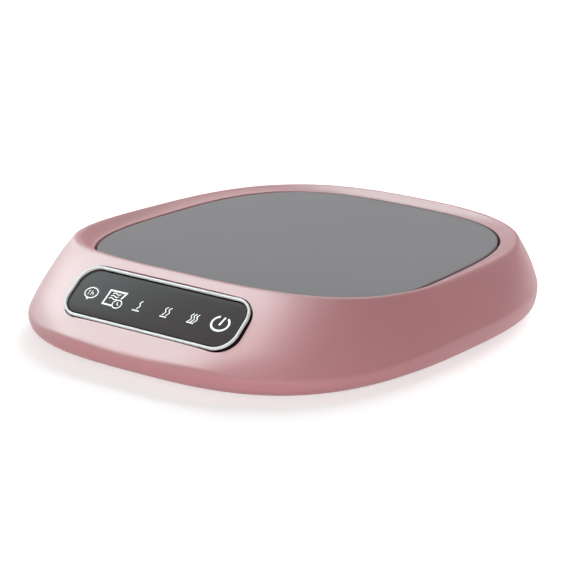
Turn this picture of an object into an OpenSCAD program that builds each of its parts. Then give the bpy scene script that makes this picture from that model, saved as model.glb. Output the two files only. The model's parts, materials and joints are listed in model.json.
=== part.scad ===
// Electric mug warmer: a moulded shell with a sprung heating plate that floats in its top,
// a touch panel let into the front slope, and the electronics on a screwed-on base.
// Millimetres. +Z is up, the feet stand on z = 0, and the control panel faces -Y.

/* [Body] */
// Width of the shell at its widest line
body_w = 126.4; // [118:0.1:152]
// Depth of the shell at its widest line
body_d = 140; // [130:0.5:168]
// Height of the widest line above the table
crease_z = 7.4; // [6.6:0.1:8.4]
// Wall thickness of the shell
wall = 2.2; // [1.8:0.1:2.6]
// Height of the feet below the base
foot_h = 1.3; // [0.8:0.1:2]
// Radius of a foot
foot_r = 5; // [4:0.1:6]

/* [Heating plate] */
// Width of the glass plate
plate_w = 100; // [83:0.1:104]
// Depth of the glass plate
plate_d = 101.6; // [84:0.1:106]
// Distance of the plate's centre behind the centre of the body
plate_y = 7.3; // [5:0.1:9]
// Height of the glass surface above the table
plate_z = 19.6; // [19:0.1:24]
// Open gap round the edge of the glass
plate_gap = 0.7; // [0.5:0.05:1.2]
// Thickness of the glass
glass_t = 2.8; // [2:0.1:3.2]
// Thickness of the aluminium heat spreader
spreader_t = 2; // [1.4:0.1:2.4]
// How far the plate sinks under a mug
plate_travel = 1; // [0.6:0.05:1.2]

/* [Rim] */
// Width of the bevel between plate and rim at the sides
bevel_side = 4.45; // [3:0.05:6]
// Width of the bevel between plate and rim at front and back
bevel_end = 3.05; // [2.2:0.05:5]
// Height of the rim above the glass, at the middle
rim_rise = 3.3; // [2.4:0.1:5]
// How much lower the rim is at its sides
rim_dip = 1.6; // [0:0.1:2]
// Fall of the rim from front to back, for each millimetre
rim_fall = 0.026; // [0:0.001:0.04]

/* [Control panel] */
// Width of the silver bezel
panel_w = 59.8; // [50:0.1:62]
// Height of the silver bezel
panel_h = 16.8; // [14:0.1:17.5]
// Corner radius of the bezel
panel_r = 6.3; // [4:0.1:7]
// Width of the bezel's rim
bezel_rim = 1.15; // [0.8:0.05:1.6]
// How far the bezel stands out of the slope
bezel_proud = 0.45; // [0.2:0.05:0.8]
// Distance of the outer touch symbols from the ends of the bezel
symbol_margin = 7.775; // [7.5:0.025:8.5]

/* [Springs and guides] */
// Distance of the guide posts from the plate's centre, each way
post_offset = 31; // [28:0.5:32]
// Radius of a guide post
post_r = 2; // [1.6:0.05:2.3]
// Running clearance between post and sleeve
post_fit = 0.08; // [0.05:0.01:0.1]
// Wire radius of a return spring
spring_wire_r = 0.3; // [0.2:0.05:0.4]
// Turns in a return spring
spring_turns = 5; // [4:1:6]

/* [Power inlet] */
// Radius of the inlet's barrel
barrel_r = 2.85; // [2.6:0.05:3]
// Radius of the inlet's centre pin
inlet_pin_r = 1; // [0.8:0.05:1.2]
// Width of the inlet's housing
inlet_w = 9; // [8:0.1:12]

/* [Hidden] */
$fn = 48;

shell_pink = [0.80, 0.55, 0.58];
soft_black = [0.12, 0.12, 0.13];
silver = [0.78, 0.78, 0.80];
steel = [0.62, 0.63, 0.66];
copper = [0.80, 0.48, 0.30];
board_green = [0.10, 0.36, 0.22];
nylon_white = [0.90, 0.89, 0.86];

segments = 96;          // points round each outline
eps = 0.01;             // overlap that makes a cut run clean through
inlet_clear = 0.1;      // clearance round a part that drops into a pocket

// --- outlines ------------------------------------------------------------------------------
// An outline is a rounded square in plan at one height:
// [half width, half depth, exponent, centre y, height, taper to the back, fall to the back, dip]
body_exp = 2.65;
plate_exp = 3.07;
base_z = foot_h;
rim_lip = 0.86;         // width of the rounded lip outside the crest
rim_lip_drop = 0.2;     // how far the lip falls over that width

glass_out = [plate_w / 2, plate_d / 2, plate_exp, plate_y, plate_z, 0.052, 0, 0];
opening = grow(glass_out, plate_gap);
crest = [opening[0] + bevel_side, opening[1] + bevel_end, 3.03, plate_y - 0.35,
         plate_z + rim_rise + 0.05, 0.045, -rim_fall, rim_dip];
shoulder = raise(grow(crest, rim_lip), -rim_lip_drop);
crease = [body_w / 2, body_d / 2, body_exp, 0, crease_z, 0.009, 0, 0];
tuck = [body_w / 2 - 0.15, body_d / 2 - 0.45, body_exp, -0.25, foot_h + (crease_z - foot_h) * 0.32,
        0.009, 0, 0];
edge = [body_w / 2 - 4.25, body_d / 2 - 3.45, 3, -0.25, foot_h, 0.009, 0, 0];
base_out = grow(raise(edge, 0), -wall - 0.25);

function grow(s, by) = [s[0] + by, s[1] + by, s[2], s[3], s[4], s[5], s[6], s[7]];
function raise(s, by) = [s[0], s[1], s[2], s[3], s[4] + by, s[5], s[6], s[7]];
function at_height(s, z) = [s[0], s[1], s[2], s[3], z, s[5], 0, 0];
function mix(s, e, u) = [for (i = [0:7]) s[i] + (e[i] - s[i]) * u];
// Moves an outline in by one amount at the sides and back, and by another at the front
function inset(s, side, front) = [s[0] - side, s[1] - (side + front) / 2, s[2],
                                  s[3] + (front - side) / 2, s[4], s[5], s[6], s[7]];
function smooth(v) = let(c = min(max(v, 0), 1)) c * c * (3 - 2 * c);

// Point of an outline at an angle seen from its centre
function outline_point(s, angle) =
    let(c = cos(angle), q = sin(angle),
        r = pow(pow(abs(c) / s[0], s[2]) + pow(abs(q) / s[1], s[2]), -1 / s[2]),
        u = r * c / s[0], v = r * q / s[1])
    [s[0] * u * (1 - s[5] * v), s[3] + s[1] * v, s[4] + s[6] * s[1] * v - s[7] * u * u];
function outline_plan(s) = [for (k = [0:segments - 1])
                            let(p = outline_point(s, 360 * k / segments)) [p[0], p[1]]];

// --- panel plane ---------------------------------------------------------------------------
panel_share = 0.422;    // where the panel's centre lies on the slope, from lip to crease
panel_sink = 0.15;      // how far the panel's plane lies under the slope's chord
panel_lean = 0.5;       // how much steeper the panel is than the slope's chord, in degrees
slope_bulge = 0.49;     // how far the slope bows out between lip and crease
lip_front = outline_point(shoulder, -90);
crease_front = outline_point(crease, -90);
panel_tilt = atan2(lip_front[2] - crease_front[2], lip_front[1] - crease_front[1]) + panel_lean;
panel_y = lip_front[1] + (crease_front[1] - lip_front[1]) * panel_share
          + panel_sink * sin(panel_tilt);
panel_z = lip_front[2] + (crease_front[2] - lip_front[2]) * panel_share
          - panel_sink * cos(panel_tilt);
flat_half = panel_w / 2 - 3;      // the slope is flat this far each side of the middle
flat_fade = 30;                   // and takes this much more to bow again

// Height of a point above the panel's plane
function above_panel(p) = -(p[1] - panel_y) * sin(panel_tilt) + (p[2] - panel_z) * cos(panel_tilt);
// Presses a point of the slope onto the panel's plane in front, fading to the sides and ends
function flatten(p, u) =
    p[1] > 0 ? p :
    let(across = 1 - smooth((abs(p[0]) - flat_half) / flat_fade),
        along = smooth(u / 0.28) * (1 - smooth((u - 0.7) / 0.3)),
        move = above_panel(p) * across * along)
    [p[0], p[1] + move * sin(panel_tilt), p[2] - move * cos(panel_tilt)];
module on_panel() { translate([0, panel_y, panel_z]) rotate([panel_tilt, 0, 0]) children(); }

// --- stack of the heating plate, from the glass down -----------------------------------------
adhesive_t = 0.3;
element_t = 0.6;
insulation_t = 1.2;
carrier_floor = 1;
flange_t = 1.4;
glass_z = plate_z - glass_t;
spreader_z = glass_z - adhesive_t - spreader_t;
element_z = spreader_z - element_t;
insulation_z = element_z - insulation_t;
carrier_z = insulation_z - carrier_floor;
flange_z = insulation_z + flange_t;
carrier_side = 1.6;               // gap between the carrier's wall and the opening
carrier_wall = 2.6;
flange_reach = 1.9;               // how far the flange reaches past the opening
carrier_out = grow(opening, -carrier_side);
pocket_out = grow(carrier_out, -carrier_wall);

// --- base and electronics ----------------------------------------------------------------------
base_t = 2;
base_top = base_z + base_t;
base_rim_h = 2;
base_rim_t = 1.3;
sleeve_wall = 1.4;
sleeve_r = post_r + post_fit + sleeve_wall;
sleeve_z = base_top + plate_travel + 0.05;  // the sleeves land on the base at full travel
sleeve_depth = carrier_floor / 2;           // how far the blind bore runs into the carrier's floor
post_z = carrier_z + sleeve_depth - plate_travel - 0.7;
spring_r = sleeve_r + 0.5 + spring_wire_r;
posts = [for (y = [-1, 1]) for (x = [-1, 1]) [x * post_offset, plate_y + y * post_offset]];

screw_r = 1.2;
screw_pilot_r = 1.22;
screw_clear_r = 1.45;
screw_head_r = 2.3;
screw_head_h = 1.2;
boss_r = 3;
boss_z = base_top + 0.9;
boss_top = carrier_z - plate_travel - 0.4;
boss_angles = [-47, -133, 47, 133];
boss_inset = 11.5;
boss_rib_t = 1.6;
boss_rib_z = base_top + base_rim_h + 0.5;
function boss_at(angle) = outline_point(inset(crease, boss_inset, boss_inset), angle);

foot_inset = 23;
foot_seat = 0.8;                  // depth of the recess that holds a foot
foot_angles = [-133, -47, 133, 47];
function foot_at(angle) = outline_point(inset(crease, foot_inset, foot_inset), angle);

board_w = 2 * (post_offset - spring_r - spring_wire_r - 1);
board_d = 38;
board_y = plate_y + 22;           // centre of the main board
board_t = 1.2;
standoff_h = 1.4;
standoff_r = 2.4;
board_z = base_top + standoff_h;
board_top = board_z + board_t;
board_hole_inset = 3.4;
board_holes = [for (x = [-1, 1]) for (y = [-1, 1])
               [x * (board_w / 2 - board_hole_inset), board_y + y * (board_d / 2 - board_hole_inset)]];
small_screw_r = 0.8;
small_pilot_r = 0.82;
small_head_r = 1.5;
small_head_h = 0.9;

guide_t = 2.3;                    // thickness of the light guide, behind the lens
lens_t = 1.8;
lens_back = -1.9;                 // back of the lens, from the panel's plane
guide_back = lens_back - guide_t;
panel_board_t = 1.2;
panel_board_w = panel_w + 5;
panel_board_h = panel_h - 2.2;
board_room = panel_board_t + inlet_clear;   // room for the panel board behind its frame
frame_w = panel_w + 6.4;
frame_h = panel_h + 2.4;
window_w = panel_w - 4.8;
window_h = panel_h - 4.8;
panel_screw_x = (window_w + frame_w) / 4 + 0.1;
symbol_count = 6;
symbol_pitch = (panel_w - 2 * symbol_margin) / (symbol_count - 1);
symbol_x = [for (i = [0:symbol_count - 1]) (i - (symbol_count - 1) / 2) * symbol_pitch];
symbol_y = -0.5;
led_w = 1.6;
led_h = 0.6;
touch_r = 2.4;
touch_wire_r = 0.25;
well_r = 1.7;
key_symbols = [1, 5];             // the mode key and the power key
lamp_symbols = [0, 2, 3, 4];      // the symbols that only light up

inlet_h = 6.8;
inlet_l = 13;
inlet_face = body_d / 2 - 1.8;
inlet_back = inlet_face - inlet_l;
inlet_depth = 9.5;
inlet_zc = base_top + inlet_h / 2;
tab_w = 1.8;
tab_t = 0.4;
tab_l = 1.6;
tab_x = 2.6;

// --- building blocks -----------------------------------------------------------------------------
// A closed tube of outlines: rows of points round the body, joined in a ring of rings
module ring_shell(rows) {
    count = len(rows);
    points = [for (row = rows) for (p = row) p];
    faces = [for (i = [0:count - 1]) for (k = [0:segments - 1])
             let(a = i * segments + k, b = i * segments + (k + 1) % segments,
                 c = ((i + 1) % count) * segments + (k + 1) % segments,
                 d = ((i + 1) % count) * segments + k)
             for (f = [[a, b, c], [a, c, d]]) f];
    polyhedron(points, faces, convexity = 10);
}
function row_of(s) = [for (k = [0:segments - 1]) outline_point(s, 360 * k / segments)];

// A round wire swept along points, with flat ends
function unit(v) = v / norm(v);
function wire_ring(path, i, r, sides) =
    let(last = len(path) - 1,
        along = unit(path[min(i + 1, last)] - path[max(i - 1, 0)]),
        side = unit(cross(along, abs(along[2]) > 0.95 ? [1, 0, 0] : [0, 0, 1])),
        up = cross(side, along))
    [for (k = [0:sides - 1])
     path[i] + r * (cos(360 * k / sides) * side + sin(360 * k / sides) * up)];
module wire(path, r, sides = 8) {
    count = len(path);
    points = [for (i = [0:count - 1]) for (p = wire_ring(path, i, r, sides)) p];
    walls = [for (i = [0:count - 2]) for (k = [0:sides - 1])
             let(a = i * sides + k, b = i * sides + (k + 1) % sides)
             for (f = [[a, a + sides, b + sides], [a, b + sides, b]]) f];
    start = [for (k = [0:sides - 1]) k];
    finish = [for (k = [sides - 1:-1:0]) (count - 1) * sides + k];
    polyhedron(points, concat([start], walls, [finish]), convexity = 10);
}
// A compression spring standing on z = 0, its end turns flat
function coil_path(r, h, turns, wire_r, steps = 12) =
    [for (i = [0:turns * steps])
     let(u = i / (turns * steps), lift = smooth((u * turns - 0.5) / (turns - 1)),
         rise = (u * turns - 0.5) / (turns - 1),
         f = min(max(0.35 * lift + 0.65 * rise, 0), 1))
     [r * cos(360 * i / steps), r * sin(360 * i / steps), wire_r + (h - 2 * wire_r) * f]];
module coil(r, h, turns, wire_r) { wire(coil_path(r, h, turns, wire_r), wire_r, 8); }

// A rounded rectangle of exact arcs, extruded
module rounded_bar(w, h, r, t) {
    linear_extrude(t) union() {
        square([w - 2 * r, h], center = true);
        square([w, h - 2 * r], center = true);
        for (x = [-1, 1]) for (y = [-1, 1]) translate([x * (w / 2 - r), y * (h / 2 - r)]) circle(r);
    }
}
module outline_slab(s, z, t) { translate([0, 0, z]) linear_extrude(t) polygon(outline_plan(s)); }
module block(w, d, h) { translate([-w / 2, -d / 2, 0]) cube([w, d, h]); }
// A pan-head screw with its head's top face at z = 0 and its shank going down
module screw(r, length, head_r, head_h) {
    translate([0, 0, -head_h - length]) cylinder(h = length, r = r);
    translate([0, 0, -head_h]) difference() {
        cylinder(h = head_h, r1 = head_r, r2 = head_r * 0.85);
        for (a = [0, 90]) rotate([0, 0, a]) translate([0, 0, head_h * 0.5])
            block(head_r * 1.1, head_r * 0.28, head_h);
    }
}

// --- shell and base ---------------------------------------------------------------------------
bevel_hollow = 0.35;              // how far the bevel sags between plate and crest
skirt_t = 1.3;
slope_steps = [0.04, 0.1, 0.2, 0.34, 0.48, 0.62, 0.76, 0.88];
function slope_row(u, side, front) =
    let(bow = slope_bulge * 4 * u * (1 - u), s = inset(grow(mix(shoulder, crease, u), bow), side, front))
    [for (k = [0:segments - 1]) flatten_inside(outline_point(s, 360 * k / segments), u, front)];
// The inner wall follows the flat patch too, one wall thickness behind it
function flatten_inside(p, u, front) =
    front == 0 ? flatten(p, u) :
    let(n = [0, -sin(panel_tilt), cos(panel_tilt)], q = flatten(p + n * wall, u)) q - n * wall;

module shell_body() {
    front_inset = wall / sin(panel_tilt);
    side_inset = wall * 1.14;
    slope_in = [0.9, 0.62, 0.34, 0.16];
    bead = 0.35;
    rows = concat(
        [row_of(at_height(opening, flange_z)),
         row_of(at_height(opening, plate_z - bead)),
         row_of(at_height(grow(opening, bead * 0.3), plate_z - bead * 0.3)),
         row_of(at_height(grow(opening, bead), plate_z)),
         row_of(raise(mix(at_height(grow(opening, bead), plate_z), crest, 0.5), -bevel_hollow)),
         row_of(raise(grow(crest, -0.6), -0.35)),
         row_of(raise(grow(crest, -0.2), -0.05)),
         row_of(raise(grow(crest, 0.4), -0.02))],
        [slope_row(0, 0, 0)],
        [for (u = slope_steps) slope_row(u, 0, 0)],
        [row_of(raise(grow(crease, -0.12), 0.7)), row_of(crease),
         row_of(raise(mix(crease, tuck, 0.5), 0)), row_of(tuck),
         row_of(mix(tuck, edge, 0.62)), row_of(edge),
         row_of(grow(edge, -wall)),
         row_of(inset(tuck, wall, wall)),
         row_of(inset(crease, wall, wall))],
        [for (u = slope_in) slope_row(u, side_inset, front_inset)],
        [row_of(raise(grow(crest, -1.1), -3)),
         row_of(at_height(grow(opening, skirt_t), plate_z - 2)),
         row_of(at_height(grow(opening, skirt_t), flange_z))]);
    ring_shell(rows);
}

module boss(angle) {
    p = boss_at(angle);
    share = (boss_top - crease_z) / (shoulder[4] - crease_z);
    low = outline_point(inset(crease, wall / 2, wall / 2), angle);
    high = outline_point(inset(mix(crease, shoulder, share), wall * 0.6, wall * 0.9), angle);
    low_reach = norm([low[0] - p[0], low[1] - p[1]]);
    high_reach = norm([high[0] - p[0], high[1] - p[1]]);
    turn = atan2(low[1] - p[1], low[0] - p[0]);
    translate([p[0], p[1], boss_z]) cylinder(h = boss_top - boss_z, r = boss_r);
    translate([p[0], p[1], 0]) rotate([0, 0, turn]) translate([0, boss_rib_t / 2, 0])
        rotate([90, 0, 0]) linear_extrude(boss_rib_t)
            polygon([[0, boss_rib_z], [low_reach, boss_rib_z], [low_reach, crease_z],
                     [high_reach, boss_top], [0, boss_top]]);
}

module upper_housing() {
    pilot_depth = 5;
    color(shell_pink) difference() {
        union() {
            shell_body();
            for (a = boss_angles) boss(a);
            on_panel() translate([-frame_w / 2, -frame_h / 2, guide_back])
                cube([frame_w, frame_h, lens_back - 0.1 - guide_back]);
        }
        for (a = boss_angles) translate([boss_at(a)[0], boss_at(a)[1], boss_z - eps])
            cylinder(h = pilot_depth, r = screw_pilot_r);
        on_panel() translate([0, 0, lens_back])
            rounded_bar(panel_w + 2 * inlet_clear, panel_h + 2 * inlet_clear, panel_r + inlet_clear, 5);
        on_panel() translate([0, 0, guide_back - 2]) rounded_bar(window_w, window_h, panel_r - 2.4, 5);
        on_panel() translate([0, 0, guide_back - board_room])
            block(panel_board_w + 2 * inlet_clear, panel_board_h + 2 * inlet_clear, board_room);
        for (x = [-1, 1]) on_panel() translate([x * panel_screw_x, 0, guide_back - eps])
            cylinder(h = 1.8, r = small_pilot_r);
        translate([-inlet_w / 2 - inlet_clear, inlet_back, base_top - inlet_clear])
            cube([inlet_w + 2 * inlet_clear, inlet_l + 6, inlet_h + 2 * inlet_clear]);
    }
}

vent_count = 8;
vent_pitch = 4;
vent_w = 1.8;
vent_l = 16;
vent_y = -22;
rating_w = 44;
rating_d = 20;
rating_deep = 0.3;
screw_pad_r = 4;
counterbore = 1.5;

module base_cover() {
    color(shell_pink) difference() {
        union() {
            outline_slab(base_out, base_z, base_t);
            difference() {
                outline_slab(base_out, base_top, base_rim_h);
                outline_slab(grow(base_out, -base_rim_t), base_top, base_rim_h + eps);
                translate([0, inlet_back + inlet_l / 2, base_top])
                    block(inlet_w + 4 * inlet_clear, inlet_l, base_rim_h + 1);
            }
            for (a = boss_angles) translate([boss_at(a)[0], boss_at(a)[1], base_z])
                cylinder(h = boss_z - base_z, r = screw_pad_r);
            for (p = posts) translate([p[0], p[1], base_z]) cylinder(h = post_z - base_z, r = post_r);
            for (p = board_holes) translate([p[0], p[1], base_z])
                cylinder(h = board_z - base_z, r = standoff_r);
            for (x = [-1, 1]) translate([x * (inlet_w / 2 + inlet_clear + 0.6), inlet_back + 3, base_z])
                block(1.2, 6, base_t + 3);
        }
        for (a = boss_angles) translate([boss_at(a)[0], boss_at(a)[1], base_z - eps]) {
            cylinder(h = counterbore + eps, r = screw_head_r + 0.3);
            cylinder(h = 6, r = screw_clear_r);
        }
        for (a = foot_angles) translate([foot_at(a)[0], foot_at(a)[1], base_z - eps])
            cylinder(h = foot_seat + eps, r = foot_r + inlet_clear);
        for (p = board_holes) translate([p[0], p[1], base_z + 0.8])
            cylinder(h = board_z - base_z, r = small_pilot_r);
        for (i = [0:vent_count - 1])
            translate([(i - (vent_count - 1) / 2) * vent_pitch, vent_y, base_z - eps])
                block(vent_w, vent_l, base_t + 1);
        translate([0, plate_y + 22, base_z - eps]) block(rating_w, rating_d, rating_deep);
    }
}

module foot(i) {
    p = foot_at(foot_angles[i]);
    color(soft_black) translate([p[0], p[1], 0]) rotate_extrude()
        polygon([[0, 0.25], [foot_r * 0.55, 0.25], [foot_r * 0.68, 0], [foot_r - 0.4, 0],
                 [foot_r, 0.4], [foot_r, foot_h + foot_seat], [0, foot_h + foot_seat]]);
}
module foot_front_left() { foot(0); }
module foot_front_right() { foot(1); }
module foot_rear_left() { foot(2); }
module foot_rear_right() { foot(3); }

module base_screws() {
    head_z = base_z + counterbore;
    color(steel) for (a = boss_angles) translate([boss_at(a)[0], boss_at(a)[1], head_z - screw_head_h])
        rotate([180, 0, 0]) screw(screw_r, 6.2, screw_head_r, screw_head_h);
}

// --- heating plate ------------------------------------------------------------------------------
clamp_xy = [for (y = [-1, 1]) for (x = [-1, 1]) [x * 20, plate_y + y * 20]];
probe_x = -8;                     // thermistor
cutout_x = 9;                     // thermal cut-out
probe_r = 1.1;
probe_l = 4.6;
cutout_w = 6.4;
cutout_d = 5.6;
probe_t = insulation_t + carrier_floor;
strap_l = 38;
strap_w = 4;
strap_t = 0.5;
strap_screw_x = strap_l / 2 - 2.4;
well_clear = 0.3;
// The heater's two leads drop through a slot in the carrier to their socket on the board
heater_x = -16;
heater_y = board_y - 8;
heater_pitch = 4;
heater_socket_h = 3;
slot_w = heater_pitch + 3;
slot_d = 3;
lead_r = 0.65;
// The thermistor's two leads
sensor_lead_r = 0.3;
sensor_pitch = 1.2;
sensor_y = board_y - board_d / 2 + 3;

module sensor_wells(z, t) {
    translate([probe_x, plate_y, z]) block(2 * (probe_r + well_clear), probe_l + 2 * well_clear, t);
    translate([cutout_x, plate_y, z]) block(cutout_w + 2 * well_clear, cutout_d + 2 * well_clear, t);
    translate([heater_x, heater_y, z]) block(slot_w, slot_d, t);
    translate([probe_x, plate_y + probe_l / 2 + 1.2, z])
        block(sensor_pitch + 2 * sensor_lead_r + 0.8, 2.4, t);
}

module glass_plate() { color([0.42, 0.41, 0.43]) outline_slab(glass_out, glass_z, glass_t); }

module plate_adhesive() {
    color([0.75, 0.75, 0.75])
        outline_slab(grow(glass_out, -plate_gap - carrier_side / 2), glass_z - adhesive_t, adhesive_t);
}

module heat_spreader() {
    color(silver) difference() {
        outline_slab(grow(pocket_out, -0.2), spreader_z, spreader_t);
        for (p = clamp_xy) translate([p[0], p[1], spreader_z - eps])
            cylinder(h = spreader_t * 0.75, r = screw_pilot_r);
    }
}

module heating_element() {
    color([0.62, 0.52, 0.36]) difference() {
        outline_slab(grow(pocket_out, -0.6), element_z, element_t);
        for (p = clamp_xy) translate([p[0], p[1], element_z - eps])
            cylinder(h = element_t + 2 * eps, r = screw_clear_r);
    }
}

module insulation_pad() {
    color([0.93, 0.92, 0.88]) difference() {
        outline_slab(grow(pocket_out, -0.4), insulation_z, insulation_t);
        for (p = clamp_xy) translate([p[0], p[1], insulation_z - eps])
            cylinder(h = insulation_t + 2 * eps, r = screw_clear_r);
        sensor_wells(insulation_z - eps, insulation_t + 2 * eps);
    }
}

module plate_carrier() {
    color([0.20, 0.20, 0.21]) difference() {
        union() {
            outline_slab(carrier_out, carrier_z, glass_z - adhesive_t - carrier_z);
            outline_slab(grow(opening, flange_reach), insulation_z, flange_t);
            for (p = posts) translate([p[0], p[1], sleeve_z])
                cylinder(h = carrier_z + carrier_floor - sleeve_z, r = sleeve_r);
            translate([switch_x, switch_y, switch_top]) cylinder(h = carrier_z - switch_top + 0.2, r = 2);
        }
        outline_slab(pocket_out, insulation_z, glass_z);
        for (p = posts) translate([p[0], p[1], sleeve_z - eps])
            cylinder(h = carrier_z + sleeve_depth - sleeve_z, r = post_r + post_fit);
        for (p = clamp_xy) translate([p[0], p[1], carrier_z - eps])
            cylinder(h = carrier_floor + 2 * eps, r = screw_clear_r);
        for (x = [-1, 1]) translate([x * strap_screw_x, plate_y, carrier_z - eps])
            cylinder(h = carrier_floor + 2 * eps, r = small_pilot_r);
        sensor_wells(carrier_z - eps, carrier_floor + 2 * eps);
    }
}

module carrier_screws() {
    length = carrier_floor + insulation_t + element_t + spreader_t * 0.6;
    color(steel) for (p = clamp_xy) translate([p[0], p[1], carrier_z - screw_head_h])
        rotate([180, 0, 0]) screw(screw_r, length, screw_head_r, screw_head_h);
}

module thermistor() {
    color(soft_black) translate([probe_x, plate_y + probe_l / 2, element_z - probe_r])
        rotate([90, 0, 0]) cylinder(h = probe_l, r = probe_r);
}

module thermal_cutout() {
    color(nylon_white) translate([cutout_x, plate_y, element_z - probe_t])
        block(cutout_w, cutout_d, probe_t);
}

module sensor_strap() {
    color(silver) difference() {
        translate([0, plate_y, carrier_z - strap_t]) block(strap_l, strap_w, strap_t);
        for (x = [-1, 1]) translate([x * strap_screw_x, plate_y, carrier_z - strap_t - eps])
            cylinder(h = strap_t + 2 * eps, r = small_screw_r + 0.2);
    }
}

module strap_screws() {
    color(steel) for (x = [-1, 1])
        translate([x * strap_screw_x, plate_y, carrier_z - strap_t - small_head_h * 0.7])
            rotate([180, 0, 0])
                screw(small_screw_r, strap_t + carrier_floor, small_head_r, small_head_h * 0.7);
}

module return_spring(i) {
    color(steel) translate([posts[i][0], posts[i][1], base_top])
        coil(spring_r, carrier_z - base_top, spring_turns, spring_wire_r);
}
module return_spring_front_left() { return_spring(0); }
module return_spring_front_right() { return_spring(1); }
module return_spring_rear_left() { return_spring(2); }
module return_spring_rear_right() { return_spring(3); }

// --- control panel --------------------------------------------------------------------------------
module panel_bezel() {
    color(silver) on_panel() translate([0, 0, lens_back]) difference() {
        rounded_bar(panel_w, panel_h, panel_r, bezel_proud - lens_back);
        translate([0, 0, -eps])
            rounded_bar(panel_w - 2 * bezel_rim, panel_h - 2 * bezel_rim, panel_r - bezel_rim,
                        bezel_proud - lens_back + 2 * eps);
    }
}

module panel_lens() {
    fit = bezel_rim + 0.1;
    color([0.16, 0.16, 0.17]) on_panel() translate([0, 0, lens_back])
        rounded_bar(panel_w - 2 * fit, panel_h - 2 * fit, panel_r - fit, lens_t);
}

module light_guide() {
    fit = 0.1;
    color(nylon_white) on_panel() difference() {
        translate([0, 0, guide_back])
            rounded_bar(window_w - 2 * fit, window_h - 2 * fit, panel_r - 2.4 - fit, guide_t);
        for (i = lamp_symbols) translate([symbol_x[i], symbol_y, guide_back - eps])
            cylinder(h = guide_t + 2 * eps, r = well_r);
        for (i = key_symbols) translate([symbol_x[i], symbol_y, guide_back - eps])
            cylinder(h = guide_t + 2 * eps, r = touch_r + touch_wire_r + 0.6);
    }
}

module indicator_leds() {
    color([0.95, 0.95, 0.85]) on_panel() for (x = symbol_x) translate([x, symbol_y, guide_back])
        block(led_w, led_w / 2, led_h);
}

module touch_spring(i) {
    color(copper) on_panel() translate([symbol_x[i], symbol_y, guide_back])
        coil(touch_r, guide_t, 3, touch_wire_r);
}
module touch_spring_mode() { touch_spring(key_symbols[0]); }
module touch_spring_power() { touch_spring(key_symbols[1]); }

module panel_board() {
    color(board_green) on_panel() difference() {
        translate([0, 0, guide_back - panel_board_t])
            block(panel_board_w, panel_board_h, panel_board_t);
        for (x = [-1, 1]) translate([x * panel_screw_x, 0, guide_back - panel_board_t - eps])
            cylinder(h = panel_board_t + 2 * eps, r = small_screw_r + 0.2);
    }
}

module touch_chip() {
    color(soft_black) on_panel() translate([-12, 0.5, guide_back - panel_board_t - 1]) block(5, 5, 1);
}

module panel_board_screws() {
    color(steel) on_panel() for (x = [-1, 1])
        translate([x * panel_screw_x, 0, guide_back - panel_board_t - small_head_h])
            rotate([180, 0, 0]) screw(small_screw_r, panel_board_t + 1.5, small_head_r, small_head_h);
}

// --- flat cable between the two boards ------------------------------------------------------------
ribbon_w = 6;
ribbon_t = 0.5;
socket_w = ribbon_w + 2;
socket_h = 2.2;
socket_d = 3;
// Corner points of the cable's middle line in the Y-Z plane, from the panel's socket to the board's
panel_socket_back = guide_back - panel_board_t - socket_h;
ribbon_start = [panel_y - panel_socket_back * sin(panel_tilt),
                panel_z + panel_socket_back * cos(panel_tilt)];
ribbon_low = base_top + 1.2;
ribbon_end = [board_y - board_d / 2 + 0.6, board_top + socket_h / 2];
ribbon_line = [ribbon_start,
               ribbon_start + 1.6 * [sin(panel_tilt), -cos(panel_tilt)],
               [ribbon_start[0] + 3.6, ribbon_low + 1.2],
               [ribbon_start[0] + 7, ribbon_low],
               [ribbon_end[0] - 8, ribbon_low],
               [ribbon_end[0] - 4, ribbon_end[1]],
               ribbon_end];

function bend_normal(line, i) =
    let(last = len(line) - 1, d = unit(line[min(i + 1, last)] - line[max(i - 1, 0)])) [-d[1], d[0]];

module panel_socket() {
    color(nylon_white) on_panel() translate([0, 0, panel_socket_back])
        block(socket_w, socket_d, socket_h);
}

module panel_ribbon() {
    top = [for (i = [0:len(ribbon_line) - 1]) ribbon_line[i] + bend_normal(ribbon_line, i) * ribbon_t / 2];
    under = [for (i = [len(ribbon_line) - 1:-1:0])
             ribbon_line[i] - bend_normal(ribbon_line, i) * ribbon_t / 2];
    color([0.85, 0.85, 0.82]) translate([-ribbon_w / 2, 0, 0]) rotate([90, 0, 90])
        linear_extrude(ribbon_w) polygon(concat(top, under));
}

module ribbon_socket() {
    color(nylon_white) translate([0, ribbon_end[0] + socket_d / 2, board_top])
        block(socket_w, socket_d, socket_h);
}

// --- main board ------------------------------------------------------------------------------------
switch_x = 24;
switch_y = plate_y - 14;
switch_w = 6;
switch_base = base_top;
plunger_r = 1.2;
plunger_fit = 0.08;
switch_top = carrier_z - 0.7;     // where the carrier's striker meets the plunger
plunger_out = 2.3;                // how far the plunger stands out of the switch
plunger_l = 3.4;
switch_body_h = switch_top - plunger_out - switch_base;

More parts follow.
